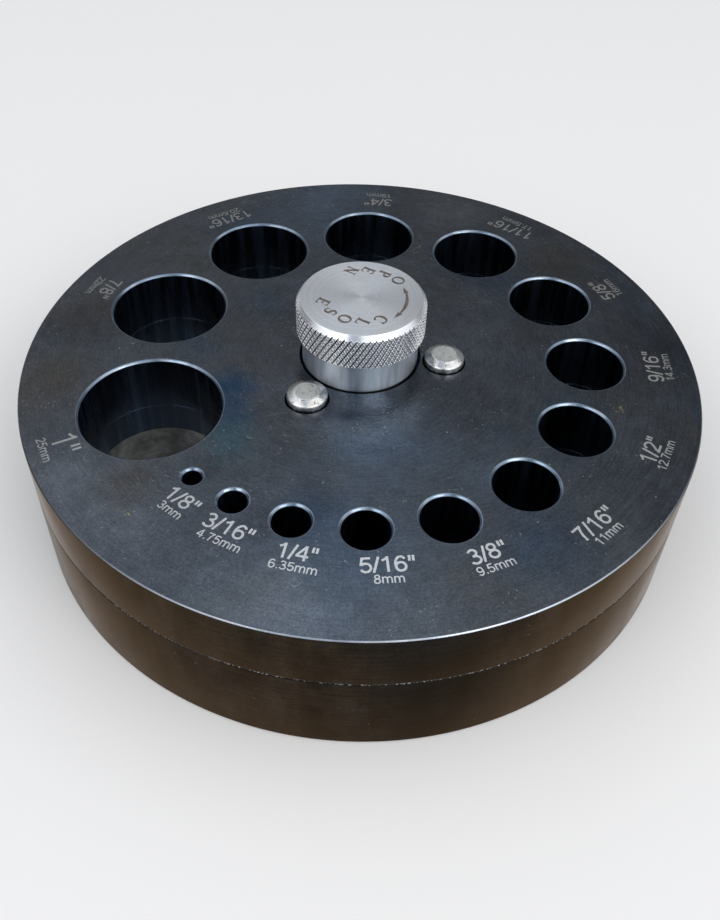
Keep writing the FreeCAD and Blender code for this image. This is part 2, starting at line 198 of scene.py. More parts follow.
class Shell:
    """A closed mesh under construction."""

    def __init__(self, finishes):
        self.mesh = bmesh.new()
        self.finishes = finishes

    def face(self, corners, finish):
        self.mesh.faces.new(corners).material_index = self.finishes.index(finish)

    def ring(self, centre, radii, level):
        """Points evenly round a centre, each at its own radius."""
        points = []
        for index, radius in enumerate(radii):
            turn = 2 * math.pi * index / len(radii)
            place = (centre[0] + radius * math.cos(turn), centre[1] + radius * math.sin(turn), level)
            points.append(self.mesh.verts.new(place))
        return points

    def wall(self, first, second, finish):
        for index in range(len(first)):
            self.face((first[index - 1], first[index], second[index], second[index - 1]), finish)

    def tube(self, centre, outline, segments, steps=ROUNDING_STEPS):
        """Walls along an outline of corners. Gives back its end rings."""
        points = softened(outline, steps)
        rings = [self.ring(centre, [radius] * segments, level) for radius, level, _ in points]
        for (_, _, finish), first, second in zip(points, rings, rings[1:]):
            self.wall(first, second, finish)
        return rings[0], rings[-1]

    def tip(self, ring, centre, level, finish):
        """Close a ring with a fan to its middle."""
        middle = self.mesh.verts.new((*centre, level))
        for index in range(len(ring)):
            self.face((ring[index - 1], ring[index], middle), finish)

    def flat(self, outer, inners, finish, marks=(), mark_finish=None, depth=0.0):
        """Fill the flat between rings, with marks pressed in by the depth."""
        level = outer[0].co.z
        rings = [outer, *inners]
        corners_of = [corner for ring in rings for corner in ring]
        places = []
        outlines = []
        for outline in [*([corner.co.xy for corner in ring] for ring in rings), *marks]:
            outlines.append(list(range(len(places), len(places) + len(outline))))
            places += outline
        filled = delaunay_2d_cdt(places, [], outlines, 1, FILL_PRECISION)
        points, _, triangles, sources, _, covers = filled
        upper = []
        for point, source in zip(points, sources):
            own = [index for index in source if index < len(corners_of)]
            upper.append(corners_of[own[0]] if own else self.mesh.verts.new((*point, level)))
        kept = {}
        for triangle, cover in zip(triangles, covers):
            if 0 in cover and not any(0 < index < len(rings) for index in cover):
                kept[tuple(triangle)] = any(index >= len(rings) for index in cover)
        lower = {}
        marked_edges = set()
        for triangle, marked in kept.items():
            if not marked:
                self.face([upper[index] for index in triangle], finish)
                continue
            for index in triangle:
                if index not in lower:
                    lower[index] = self.mesh.verts.new((*points[index], level - depth))
            self.face([lower[index] for index in triangle], mark_finish)
            for index in range(3):
                marked_edges.add((triangle[index - 1], triangle[index]))
        for first, second in marked_edges:
            if (second, first) not in marked_edges:
                self.face((upper[first], upper[second], lower[second], lower[first]), mark_finish)

    def finished(self, name, materials, sharp=SHARP_ANGLE):
        """The object, in metres, with its edges sharp above an angle."""
        bmesh.ops.remove_doubles(self.mesh, verts=self.mesh.verts, dist=WELD_REACH)
        bmesh.ops.recalc_face_normals(self.mesh, faces=self.mesh.faces)
        self.mesh.transform(Matrix.Scale(MM, 4))
        data = bpy.data.meshes.new(name)
        self.mesh.to_mesh(data)
        self.mesh.free()
        for finish in self.finishes:
            data.materials.append(materials[finish])
        data.shade_smooth()
        data.set_sharp_from_angle(angle=math.radians(sharp))
        return in_scene(bpy.data.objects.new(name, data))


def in_scene(thing):
    """Put an object into the scene, and give it back."""
    bpy.context.scene.collection.objects.link(thing)
    return thing


# ---------------------------------------------------------------- lettering


def turns_between(start, end, steps):
    return [math.radians(start + (end - start) * step / steps) for step in range(steps + 1)]


def sweep(across, up, half_width, half_height, start, end, steps=14):
    """Points on an ellipse's arc, between two angles in degrees."""
    return [
        (across + half_width * math.cos(turn), up + half_height * math.sin(turn))
        for turn in turns_between(start, end, steps)
    ]


# Plain numerals as pen paths, in cap heights: the advance, then the paths.
STROKE = 0.142
ONE_INCH_STROKE = 0.105
TRACKING = -0.035
NINE_MIDDLE = (0.387, 0.493)
SIX_PATHS = [
    sweep(0.395, 0.31, 0.262, 0.27, 0, 360, 24),
    sweep(0.415, 0.49, 0.292, 0.453, 197, 42),
]
NUMERALS = {
    "0": (0.777, [sweep(0.387, 0.493, 0.267, 0.453, 0, 360, 28)]),
    "1": (0.777, [[(0.4575, 0.0), (0.4575, 1.0)], [(0.45, 0.95), (0.36, 0.84), (0.16, 0.735)]]),
    "2": (0.777, [
        sweep(0.385, 0.715, 0.255, 0.232, 172, -28) + [(0.46, 0.43), (0.24, 0.24), (0.13, 0.06)],
        [(0.05, 0.06), (0.703, 0.06)],
    ]),
    "3": (0.777, [
        sweep(0.37, 0.742, 0.222, 0.203, 160, -90),
        sweep(0.375, 0.277, 0.277, 0.235, 90, -160),
        [(0.29, 0.53), (0.38, 0.53)],
    ]),
    "4": (0.777, [
        [(0.513, 0.0), (0.513, 1.0)],
        [(0.5, 0.95), (0.07, 0.33)],
        [(0.02, 0.296), (0.705, 0.296)],
    ]),
    "5": (0.777, [
        [(0.66, 0.925), (0.17, 0.925)],
        [(0.215, 0.95), (0.135, 0.46)],
        sweep(0.38, 0.318, 0.272, 0.275, 142, -158),
    ]),
    "6": (0.777, SIX_PATHS),
    "7": (0.777, [
        [(0.066, 0.925), (0.715, 0.925)],
        [(0.655, 0.93), (0.5, 0.7), (0.38, 0.42), (0.31, 0.0)],
    ]),
    "8": (0.777, [
        sweep(0.387, 0.742, 0.218, 0.203, 0, 360, 24),
        sweep(0.387, 0.278, 0.268, 0.235, 0, 360, 24),
    ]),
    "9": (0.777, [
        [(2 * NINE_MIDDLE[0] - x, 2 * NINE_MIDDLE[1] - y) for x, y in path] for path in SIX_PATHS
    ]),
    "/": (0.388, [[(0.04, -0.02), (0.35, 1.0)]]),
    '"': (0.5, [[(0.14, 0.64), (0.14, 1.0)], [(0.35, 0.64), (0.35, 1.0)]]),
    ".": (0.388, [[(0.197, 0.0), (0.197, 0.14)]]),
    "m": (1.163, [
        [(0.154, 0.0), (0.154, 0.74)],
        sweep(0.367, 0.46, 0.213, 0.23, 180, 0) + [(0.58, 0.0)],
        sweep(0.795, 0.46, 0.215, 0.23, 180, 0) + [(1.01, 0.0)],
    ]),
}

THICK = 0.24
THIN = 0.12
BAR = 0.1
SERIF = 0.08
SERIF_LEVELS = (0.03, 0.97)
PEN_SWELL = 1.5


def swelling(across, up, half_width, half_height, start, end, steps=16):
    """An arc as a broad pen draws it, thick where it runs up and down."""
    swells = [abs(math.cos(turn)) ** PEN_SWELL for turn in turns_between(start, end, steps)]
    widths = [THIN + (THICK - THIN) * swell for swell in swells]
    return sweep(across, up, half_width, half_height, start, end, steps), widths


def bar(left, right, level, width=BAR):
    return [(left, level), (right, level)], [width, width]


def serif_stem(across, width=THICK, reach=0.17):
    """A stem with a thin bar across each end."""
    stem = [(across, 0.0), (across, 1.0)], [width, width]
    return [stem] + [bar(across - reach, across + reach, level, SERIF) for level in SERIF_LEVELS]


# Capitals with serifs, in cap heights: the width, then the strokes with their widths.
CAPITALS = {
    "C": (0.88, [
        swelling(0.47, 0.5, 0.36, 0.46, 45, 318, 22),
        ([(0.77, 0.62), (0.77, 0.97)], [0.06, 0.1]),
    ]),
    "L": (0.8, serif_stem(0.27) + [
        bar(0.2, 0.76, 0.035),
        ([(0.72, 0.0), (0.78, 0.3)], [0.13, 0.05]),
    ]),
    "O": (0.98, [swelling(0.49, 0.5, 0.39, 0.46, 0, 180), swelling(0.49, 0.5, 0.39, 0.46, 180, 360)]),
    "S": (0.72, [
        (
            sweep(0.37, 0.74, 0.21, 0.225, 40, 235) + sweep(0.35, 0.27, 0.23, 0.235, 50, -150),
            [0.11 + 0.13 * math.sin(math.pi * step / 29) ** 2 for step in range(30)],
        ),
        ([(0.59, 0.68), (0.59, 0.97)], [0.05, 0.09]),
        ([(0.12, 0.33), (0.12, 0.03)], [0.05, 0.09]),
    ]),
    "E": (0.84, serif_stem(0.27) + [
        bar(0.2, 0.74, 0.965),
        bar(0.2, 0.6, 0.51),
        bar(0.2, 0.78, 0.035),
        ([(0.73, 1.0), (0.75, 0.74)], [0.11, 0.05]),
        ([(0.59, 0.4), (0.59, 0.63)], [SERIF, SERIF]),
        ([(0.74, 0.0), (0.8, 0.28)], [0.13, 0.05]),
    ]),
    "P": (0.76, serif_stem(0.27) + [
        bar(0.2, 0.45, 0.965),
        swelling(0.44, 0.72, 0.24, 0.245, 90, -90),
        bar(0.2, 0.45, 0.475),
    ]),
    "N": (1.0, serif_stem(0.22, THIN, 0.16) + serif_stem(0.8, THIN, 0.16) + [
        ([(0.16, 0.98), (0.8, 0.02)], [THICK, THICK]),
    ]),
}


def ribbon(path, widths):
    """The outline of a stroke along a path, with a width at each of its points."""
    points = [Vector(point) for point in path]
    left = []
    right = []
    for index, here in enumerate(points):
        arriving = here - points[max(index - 1, 0)]
        leaving = points[min(index + 1, len(points) - 1)] - here
        along = (arriving.normalized() + leaving.normalized()).normalized()
        side = Vector((-along.y, along.x)) * (widths[index] / 2)
        left.append(here + side)
        right.append(here - side)
    return left + right[::-1]


def split_ring(path):
    """A closed path as two open halves, so that its ribbon has no hole."""
    if (Vector(path[0]) - Vector(path[-1])).length > STROKE / 2:
        return [path]
    middle = len(path) // 2
    return [path[:middle + 1], path[middle:]]


def placed(outline, size, start, turn):
    """An outline in cap heights, set down with its points anticlockwise."""
    along, upward = axes(turn)
    points = [start + along * point.x * size + upward * point.y * size for point in outline]
    area = sum(points[i - 1].cross(points[i]) for i in range(len(points)))
    return points if area > 0 else points[::-1]


def axes(turn):
    """The directions along and up a line of text."""
    along = Vector((math.cos(turn), math.sin(turn)))
    return along, Vector((-along.y, along.x))


def corner_of(width, size, middle, turn):
    """The lower left corner of text with this width, centred on a place."""
    along, upward = axes(turn)
    return middle - along * (width * size / 2) - upward * (size / 2)


def plain_text(text, size, middle, turn, stroke=STROKE):
    """The outlines of a line of numerals, centred on a place."""
    width = sum(NUMERALS[letter][0] + TRACKING for letter in text) - TRACKING
    start = corner_of(width, size, middle, turn)
    outlines = []
    for letter in text:
        advance, paths = NUMERALS[letter]
        for part in [half for path in paths for half in split_ring(path)]:
            outlines.append(placed(ribbon(part, [stroke] * len(part)), size, start, turn))
        start = start + axes(turn)[0] * (advance + TRACKING) * size
    return outlines


def capital(letter, size, middle, turn):
    """The outlines of one capital, centred on a place."""
    width, strokes = CAPITALS[letter]
    start = corner_of(width, size, middle, turn)
    return [placed(ribbon(path, widths), size, start, turn) for path, widths in strokes]


def on_ring(radius, angle):
    return Vector((radius * math.cos(math.radians(angle)), radius * math.sin(math.radians(angle))))


# Size marks, by the bore in sixteenths of an inch: the metric text, the middles of both lines from
# the plate's middle, and how far the marks are turned round the plate from their bore.
SIZE_MARKS = {
    16: ("25mm", 56.6, 60.3, 3.7),
    14: ("22mm", 55.4, 58.6, -1.0),
    13: ("20.6mm", 55.4, 58.0, -0.2),
    12: ("19mm", 55.4, 58.4, -1.7),
    11: ("17.5mm", 56.3, 59.2, -1.5),
    10: ("16mm", 55.1, 57.8, -1.3),
    9: ("14.3mm", 55.7, 58.4, 0.2),
    8: ("12.7mm", 55.9, 58.5, 1.4),
    7: ("11mm", 55.5, 58.2, 2.4),
    6: ("9.5mm", 51.1, 53.9, 3.1),
    5: ("8mm", 49.9, 52.6, 3.5),
    4: ("6.35mm", 48.8, 51.6, 3.4),
    3: ("4.75mm", 47.9, 50.8, 3.2),
    2: ("3mm", 47.3, 50.1, 3.2),
}


def bores():
    """Every punch bore: its sixteenths of an inch, centre, radius and angle round the plate."""
    found = []
    for mount in frame["record"]["mounts"]:
        if mount["kind"] == "bore":
            centre = Vector(mount["pos_m"][:2]) / MM
            radius = mount["dims"]["r_mm"]
            angle = math.degrees(math.atan2(centre.y, centre.x))
            found.append((round(radius * 32 / INCH), centre, radius, angle))
    return found


def inch_text(sixteenths):
    shared = math.gcd(sixteenths, 16)
    if sixteenths == 16:
        return '1"'
    return f'{sixteenths // shared}/{16 // shared}"'


def size_marks():
    """The outlines of all the size marks, whose tops point at the plate's middle."""
    outlines = []
    for sixteenths, _, _, bore_angle in bores():
        metric, inch_ring, metric_ring, turned = SIZE_MARKS[sixteenths]
        angle = bore_angle + turned
        turn = math.radians(angle + 90)
        height = ONE_INCH_CAP_HEIGHT if sixteenths == 16 else INCH_CAP_HEIGHT
        stroke = ONE_INCH_STROKE if sixteenths == 16 else STROKE
        outlines += plain_text(inch_text(sixteenths), height, on_ring(inch_ring, angle), turn, stroke)
        outlines += plain_text(metric, METRIC_CAP_HEIGHT, on_ring(metric_ring, angle), turn)
    return outlines


# Knob marks, as they lie with the letters upright: ring radius, first letter's angle, and step.
KNOB_WORDS = {
    "CLOSE": (7.25, 57.5, -26.1),
    "OPEN": (8.55, 160.0, 21.7),
}
KNOB_MARK_SHIFT = Vector((0.15, -0.05))
ARROW_RADIUS = 8.12
ARROW_START = 74.0
ARROW_END = 144.0
ARROW_WIDTH = 0.62
ARROW_TAIL_WIDTH = 0.16
ARROW_STEPS = 24
ARROW_SWELL = 1.2
ARROW_GAP = 4.0
ARROW_HEAD = 13.0
ARROW_HEAD_WIDTH = 0.95
ARROW_TIP_WIDTH = 0.06
ARROW_HEAD_STEPS = 6


def arrow_arc(start, end, steps):
    return sweep(0, 0, ARROW_RADIUS, ARROW_RADIUS, start, end, steps)


def knob_arrow():
    """A curved arrow with a head at each end, as a shaft and two heads."""
    shares = [step / ARROW_STEPS for step in range(ARROW_STEPS + 1)]
    swells = [math.sin(math.pi * share) ** ARROW_SWELL for share in shares]
    widths = [ARROW_TAIL_WIDTH + (ARROW_WIDTH - ARROW_TAIL_WIDTH) * swell for swell in swells]
    strokes = [(arrow_arc(ARROW_START + ARROW_GAP, ARROW_END - ARROW_GAP, ARROW_STEPS), widths)]
    shares = [step / ARROW_HEAD_STEPS for step in range(ARROW_HEAD_STEPS + 1)]
    widths = [ARROW_TIP_WIDTH + (ARROW_HEAD_WIDTH - ARROW_TIP_WIDTH) * share for share in shares]
    for tip, back in ((ARROW_START, ARROW_HEAD), (ARROW_END, -ARROW_HEAD)):
        strokes.append((arrow_arc(tip, tip + back, ARROW_HEAD_STEPS), widths))
    return strokes


def knob_marks():
    turn = math.radians(KNOB_MARK_TURN - 90)
    outlines = []
    for word, (ring, first, step) in KNOB_WORDS.items():
        for index, letter in enumerate(word):
            place = on_ring(ring, first + step * index + KNOB_MARK_TURN - 90) + KNOB_MARK_SHIFT
            outlines += capital(letter, KNOB_CAP_HEIGHT, place, turn)
    for path, widths in knob_arrow():
        outlines.append(placed(ribbon(path, widths), 1.0, KNOB_MARK_SHIFT, turn))
    return outlines


# ---------------------------------------------------------------- materials


class NodeTree:
    """Nodes that work out colours and values, in a material or in the world."""

    def __init__(self, owner):
        owner.use_nodes = True
        self.nodes = owner.node_tree.nodes
        self.links = owner.node_tree.links

    def feed(self, socket, value):
        """Give a socket a node's output, a colour, a vector or a number."""
        if isinstance(value, bpy.types.NodeSocket):
            self.links.new(value, socket)
        elif isinstance(value, tuple) and socket.type == "RGBA":
            socket.default_value = (*value, 1.0)
        else:
            socket.default_value = value

    def add(self, kind, inputs, **settings):
        """A new node, with its inputs by the name or number of their socket."""
        node = self.nodes.new(f"ShaderNode{kind}")
        for name, setting in settings.items():
            setattr(node, name, setting)
        for socket, value in inputs.items():
            self.feed(node.inputs[socket], value)
        return node

    def math(self, operation, first, *others):
        """Numbers put together one after another."""
        for other in others:
            first = self.add("Math", {0: first, 1: other}, operation=operation).outputs["Value"]
        return first

    def times(self, *factors):
        return self.math("MULTIPLY", *factors)

    def vector(self, operation, first, second=(0, 0, 0), output="Vector"):
        return self.add("VectorMath", {0: first, 1: second}, operation=operation).outputs[output]

    def scaled(self, vector, scale):
        inputs = {0: vector, "Scale": scale}
        return self.add("VectorMath", inputs, operation="SCALE").outputs["Vector"]

    def span(self, value, low, high, out_low=0.0, out_high=1.0):
        """Map a stretch of values, smoothly and held at both ends."""
        inputs = dict(enumerate((value, low, high, out_low, out_high)))
        return self.add("MapRange", inputs, interpolation_type="SMOOTHSTEP").outputs["Result"]

    def blend(self, share, first, second):
        """A colour between two: the first at a share of zero, the second at one."""
        node = self.add("Mix", {"Factor": share}, data_type="RGBA")
        colours = [socket for socket in node.inputs if socket.type == "RGBA"]
        self.feed(colours[0], first)
        self.feed(colours[1], second)
        return next(socket for socket in node.outputs if socket.type == "RGBA")


SPOT_CORE = 0.6
FLECK_CORE = 0.7
FLECK_TURNS = (12.0, 71.0, 133.0)
HAIR_EDGE = 0.02
HAIR_PATCH = 1.4
HAIR_SEED = 30
QUARTER_TURN = 0.25


class Shader(NodeTree):
    """A metal material whose colour is built up from a plain one. Sizes are in millimetres."""

    def __init__(self, name, colour):
        self.material = bpy.data.materials.new(name)
        super().__init__(self.material)
        self.nodes.clear()
        self.metal = self.add("BsdfPrincipled", {})
        self.add("OutputMaterial", {"Surface": self.metal.outputs["BSDF"]})
        self.place = self.add("TexCoord", {}).outputs["Object"]
        self.colour = colour

    def set(self, socket, value):
        self.feed(self.metal.inputs[socket], value)

    def stain(self, tint, *shares):
        """Lay a tint over the colour, as strongly as the product of the shares."""
        self.colour = self.blend(self.times(*shares), self.colour, tint)

    def shade(self, *factors):
        """Make the colour lighter or darker by the product of the factors."""
        self.colour = self.scaled(self.colour, self.times(*factors))

    def finished(self, rough, metallic=1.0):
        self.set("Base Color", self.colour)
        self.set("Roughness", rough)
        self.set("Metallic", metallic)
        return self.material

    def stretched(self, stretch):
        """The place with its axes scaled: a pattern runs long where the scale is small."""
        return self.vector("MULTIPLY", self.place, stretch)

    def flat(self):
        return self.stretched((1, 1, 0))

    def from_axis(self):
        """The distance from the Z axis."""
        return self.vector("LENGTH", self.flat(), output="Value")

    def noise(self, size, detail=2.0, seed=0.0, roughness=0.5, stretch=None):
        """Cloudy noise whose features are about as big as the size."""
        where = self.stretched(stretch) if stretch else self.place
        inputs = {"Vector": where, "W": seed, "Scale": 1 / (size * MM)}
        inputs.update({"Detail": detail, "Roughness": roughness})
        return self.add("TexNoise", inputs, noise_dimensions="4D").outputs["Fac"]

    def rings(self, size, detail):
        """Noise by the distance from the Z axis alone, like turning marks."""
        inputs = {"W": self.from_axis(), "Scale": 1 / (size * MM), "Detail": detail}
        return self.add("TexNoise", inputs, noise_dimensions="1D").outputs["Fac"]

    def arcs(self, size, reach, detail, roughness):
        """Streaks round the Z axis: a size thick, and a reach long as a share of the radius."""
        along = self.scaled(self.vector("NORMALIZE", self.flat()), 1 / reach)
        outward = self.add("CombineXYZ", {"Z": self.times(self.from_axis(), 1 / (size * MM))})
        where = self.vector("ADD", along, outward.outputs["Vector"])
        inputs = {"Vector": where, "Scale": 1.0, "Detail": detail, "Roughness": roughness}
        return self.add("TexNoise", inputs).outputs["Fac"]

    def cells(self, size, where):
        """The distance to the nearest of scattered points, about a size apart."""
        return self.add("TexVoronoi", {"Vector": where, "Scale": 1 / (size * MM)}).outputs["Distance"]

    def under(self, level, reach):
        """One at a level and below, falling to zero over a reach above it."""
        height = self.add("SeparateXYZ", {"Vector": self.place}).outputs["Z"]
        return self.span(height, (level + reach) * MM, level * MM)

    def within(self, radius, reach):
        """One nearer the Z axis than a radius, falling to zero over a reach outside it."""
        return self.span(self.from_axis(), (radius + reach) * MM, radius * MM)

    def near(self, across, along, reach, ragged, seed=0.0):
        """One near a place on the plate, falling to zero with a ragged edge."""
        middle = (across * MM, along * MM, 0)
        distance = self.vector("DISTANCE", self.flat(), middle, output="Value")
        wander = self.times(self.noise(reach / 2, 4, seed), 2 * ragged * reach * MM)
        distance = self.math("ADD", distance, wander)
        return self.span(distance, reach * MM * (1 + ragged), reach * MM * ragged)

    def spots(self, size, radius, seed=0.0):
        """One where a scattered spot lies. The radius is a share of the size."""
        distance = self.cells(size, self.vector("ADD", self.place, (seed, seed, seed)))
        return self.span(distance, radius, radius * SPOT_CORE)

    def flecks(self, size, width, length, seed):
        """Short straight flecks in a few directions, about a size apart."""
        found = 0.0
        reach = length / size
        for turn in FLECK_TURNS:
            inputs = {"Vector": self.place, "Angle": math.radians(turn)}
            turned = self.add("VectorRotate", inputs, rotation_type="Z_AXIS").outputs["Vector"]
            shifted = self.vector("ADD", turned, (seed + turn, seed, seed))
            distance = self.cells(size, self.vector("MULTIPLY", shifted, (1, length / width, 1)))
            found = self.math("MAXIMUM", found, self.span(distance, reach, reach * FLECK_CORE))
        return found

    def hairs(self, size, width, cover, seed):
        """One along thin curved hairs, where a second noise is over the cover."""
        offset = self.math("SUBTRACT", self.noise(size, 1, seed), 0.5)
        line = self.span(self.math("ABSOLUTE", offset, 0.0), width, 0.0)
        return self.times(line, self.clouds(size * HAIR_PATCH, cover, cover + HAIR_EDGE, seed + HAIR_SEED))

    def clouds(self, size, start, full, seed, amount=1.0, detail=3.0):
        """Soft patches: zero where noise is under start, and the amount where it is over full."""
        return self.span(self.noise(size, detail, seed), start, full, 0.0, amount)

    def vary(self, noise, least=0.0, most=1.0, swing=0.2):
        """Noise spread between two amounts, reached a swing below and above its middle."""
        return self.span(noise, 0.5 - swing, 0.5 + swing, least, most)

    def bump(self, height, distance, strength):
        """Bump from a height of zero to one, this distance deep."""
        inputs = {"Height": height, "Distance": distance * MM, "Strength": strength}
        self.set("Normal", self.add("Bump", inputs).outputs["Normal"])

    def turned_grain(self, amount):
        """Stretch the highlights across turning marks, which run round the Z axis."""
        tangent = self.add("Tangent", {}, direction_type="RADIAL", axis="Z")
        self.set("Tangent", tangent.outputs["Tangent"])
        self.set("Anisotropic", amount)
        self.set("Anisotropic Rotation", QUARTER_TURN)


BLUED = (0.098, 0.107, 0.12)
PALE = (0.15, 0.16, 0.172)
BLUE = (0.036, 0.072, 0.125)
TEAL = (0.072, 0.12, 0.142)
SKY_BLUE = (0.118, 0.158, 0.212)
BROWN = (0.098, 0.09, 0.081)
DARK = (0.05, 0.052, 0.057)
# Painted sheen: a painted reflection of the collar on the plate in front of the knob, and a painted
# highlight along the front rim.
PAINTED_SHEEN = (0.27, 0.3, 0.34)
DUST = (0.52, 0.51, 0.48)
BRASS = (0.6, 0.44, 0.2)

# Where shavings lie on the plate's top: across, along and reach.
SWARF_PLACES = [(47.1, -13.3, 1.6), (-35.9, -41.4, 1.3)]

# Where the bluing on the plate's top came out otherwise, and where a painted sheen lies on it: the
# colour, and then the across, along, reach and strength of each place.
TOP_PLACES = [
    (SKY_BLUE, [(4, -22, 17, 0.75), (0, -50, 26, 0.6), (-10, 55, 22, 0.75), (22, -31, 8, 0.5)]),
    (PALE, [(-47, -34, 13, 0.75), (-38, -43, 10, 0.6), (-14, -57, 14, 0.8), (8, -60, 14, 0.5)]),
    (BROWN, [(-37, -35, 8, 0.8), (-57, -10, 13, 0.9), (-54, 10, 12, 0.7)]),
    (PALE, [(20, 53, 13, 0.9)]),
    (BROWN, [(43, 33, 11, 0.7)]),
    (DARK, [(58, 4, 15, 0.5), (-54, 6, 12, 0.5), (50, -39, 9, 0.4), (-15, -42, 7, 0.45)]),
    (BLUE, [(-24, -11, 8, 0.95), (-23, -18, 7, 0.85)]),
    (DARK, [(-24, -31, 7, 0.5)]),
    (BLUE, [(29, -44, 13, 0.5), (-7, -40, 9, 0.45), (38, -14, 8, 0.35), (27, 26, 10, 0.35)]),
    (TEAL, [(-22, -24, 8, 0.9)]),
    # Painted sheen: a painted reflection of the collar in front of the knob, and a painted highlight along
    # the front rim.
    (PAINTED_SHEEN, [(1, -13, 6, 1), (-8, -61, 13, 0.35)]),
]
PLACE_SEED = 50


def stains_and_painted_sheen(mat):
    """The stains in the bluing of the plate's top, and its painted sheen."""
    mat.stain(BROWN, mat.clouds(30, 0.48, 0.7, 5.3, 0.45))
    mat.stain(BLUE, mat.clouds(22, 0.5, 0.7, 1, 0.35))
    places = [(tint, *place) for tint, group in TOP_PLACES for place in group]
    for seed, (tint, across, along, reach, strength) in enumerate(places, PLACE_SEED):
        mat.stain(tint, mat.near(across, along, reach, 0.5, seed), strength)


def top_dirt(mat):
    """Dust, flecks and lint on the plate's top, as a share of cover."""
    dust = mat.times(mat.spots(2, 0.085), mat.clouds(9, 0.5, 0.66, 3, 0.8, 2))
    fine = mat.times(mat.spots(0.7, 0.16, 5), mat.clouds(10, 0.5, 0.68, 3.4, 0.32, 3))
    flecks = mat.times(mat.flecks(3, 0.07, 0.26, 3), mat.clouds(7, 0.45, 0.62, 3.8, 0.6, 2))
    lint = mat.times(mat.hairs(7, 0.004, 0.62, 4), 0.35)
    return mat.math("MAXIMUM", dust, fine, flecks, lint)


def plate_top():
    mat = Shader("blued_top", BLUED)
    stains_and_painted_sheen(mat)
    arcs = mat.arcs(0.25, 0.12, 3, 0.6)
    mottle = mat.vary(mat.noise(2.8, 5, 9.7, 0.65), 0.86, 1.15, 0.25)
    speckle = mat.vary(mat.noise(0.34, 3, 9.9, 0.7), 0.72, 1.3, 0.25)
    mat.shade(mottle, speckle, mat.vary(arcs, 0.9, 1.1))
    dirt = top_dirt(mat)
    mat.stain(DUST, dirt)
    swarf = mat.clouds(0.55, 0.56, 0.6, 4.4, 0.9, 2)
    for across, along, reach in SWARF_PLACES:
        mat.stain(BRASS, mat.near(across, along, reach, 0.2), swarf)
    haze = mat.span(mat.noise(9, 4, 2.2), 0.3, 0.75, -0.05, 0.08)
    handled = mat.times(mat.near(0, -18, 14, 0.3), -0.04)
    mat.bump(arcs, 0.004, 0.25)
    mat.turned_grain(0.3)
    rough = mat.math("ADD", mat.vary(arcs, 0.24, 0.3), haze, handled, mat.times(dirt, 0.4))
    return mat.finished(rough)


SIDE_UMBER = (0.0275, 0.0228, 0.018)
SIDE_DARK = (0.0165, 0.0148, 0.013)
SIDE_WARM = (0.045, 0.034, 0.025)
SIDE_COLD = (0.021, 0.024, 0.028)
# A painted dark reflection on the side, at the front.
SIDE_DARK_REFLECTION = (0.0085, 0.0098, 0.0105)
# A painted warm reflection on the side, right of the front.
SIDE_WARM_REFLECTION = (0.02, 0.0155, 0.012)
SIDE_EDGE_TINT = (0.74, 0.64, 0.56)


def plate_side():
    """The plates' sides: brown-black, with bands and lines that run round them, and a painted dark
    reflection and a painted warm reflection at the front.
    """
    mat = Shader("blued_side", SIDE_UMBER)
    drawn = mat.noise(9, 4, 4.7, 0.6, (1, 1, 0.5))
    mat.stain(SIDE_DARK, mat.clouds(9, 0.36, 0.66, 6))
    mat.stain(SIDE_WARM, mat.span(drawn, 0.45, 0.75, 0, 0.6))
    mat.stain(SIDE_COLD, mat.clouds(14, 0.56, 0.72, 6.6, 0.4))
    # Painted dark reflection at the front of the side.
    mat.stain(SIDE_DARK_REFLECTION, mat.near(13, -62, 19, 0.4, 6.2))
    # Painted warm reflection on the side, right of the front.
    mat.stain(SIDE_WARM_REFLECTION, mat.near(36, -52, 10, 0.4, 6.3))
    bands = mat.noise(6, 4, 4, 0.6, (1, 1, 26))
    lines = mat.vary(mat.noise(7, 5, 6.9, 0.75, (1, 1, 60)), 0.72, 1.34)
    patches = mat.vary(mat.noise(5, 3, 7.7, 0.6, (1, 1, 0.3)), 0.72, 1.24)
    speckle = mat.vary(mat.noise(0.5, 4, 6.9, 0.7), 0.72, 1.32, 0.25)
    mat.shade(speckle, mat.vary(bands, 0.8, 1.25), lines, patches)
    mat.stain(DUST, mat.spots(1.8, 0.075, 8), mat.clouds(10, 0.48, 0.6, 8.4, 0.35, 1))
    mat.set("Specular Tint", SIDE_EDGE_TINT)
    mat.bump(bands, 0.003, 0.3)
    return mat.finished(mat.vary(drawn, 0.14, 0.27))


def plate_bore():
    mat = Shader("blued_bore", (0.045, 0.06, 0.084))
    streaks = mat.noise(1.8, 3, 7, stretch=(1, 1, 0.05))
    mat.stain((0.09, 0.128, 0.19), mat.span(streaks, 0.35, 0.7))
    return mat.finished(mat.vary(streaks, 0.2, 0.34))


def plate_relief():
    """The relief under a cutting land: bare and dull, with rust coming."""
    mat = Shader("relief_bore", (0.21, 0.205, 0.19))
    mottle = mat.noise(1.6, 5, 8, 0.6)
    turning = mat.vary(mat.noise(3, 4, 8.5, stretch=(0.3, 0.3, 18)), 0.78, 1.12)
    mat.stain((0.33, 0.335, 0.325), mat.vary(mottle))
    mat.shade(mat.vary(mat.noise(5, 3, 8.8), 0.6, 1.3, 0.15), turning)
    mat.bump(mottle, 0.02, 0.4)
    return mat.finished(0.55, 0.5)


def plate_rim():
    """The rim's narrow chamfer, lighter round the front."""
    mat = Shader("worn_rim", (0.1, 0.105, 0.115))
    front_tone = mat.blend(mat.clouds(3, 0.5, 0.7, 11, 0.6), (0.5, 0.54, 0.6), (0.24, 0.27, 0.31))
    # The chamfer's colour is lighter towards the front of the plate.
    mat.stain(front_tone, mat.near(14, -60, 76, 0.1))
    return mat.finished(0.3)


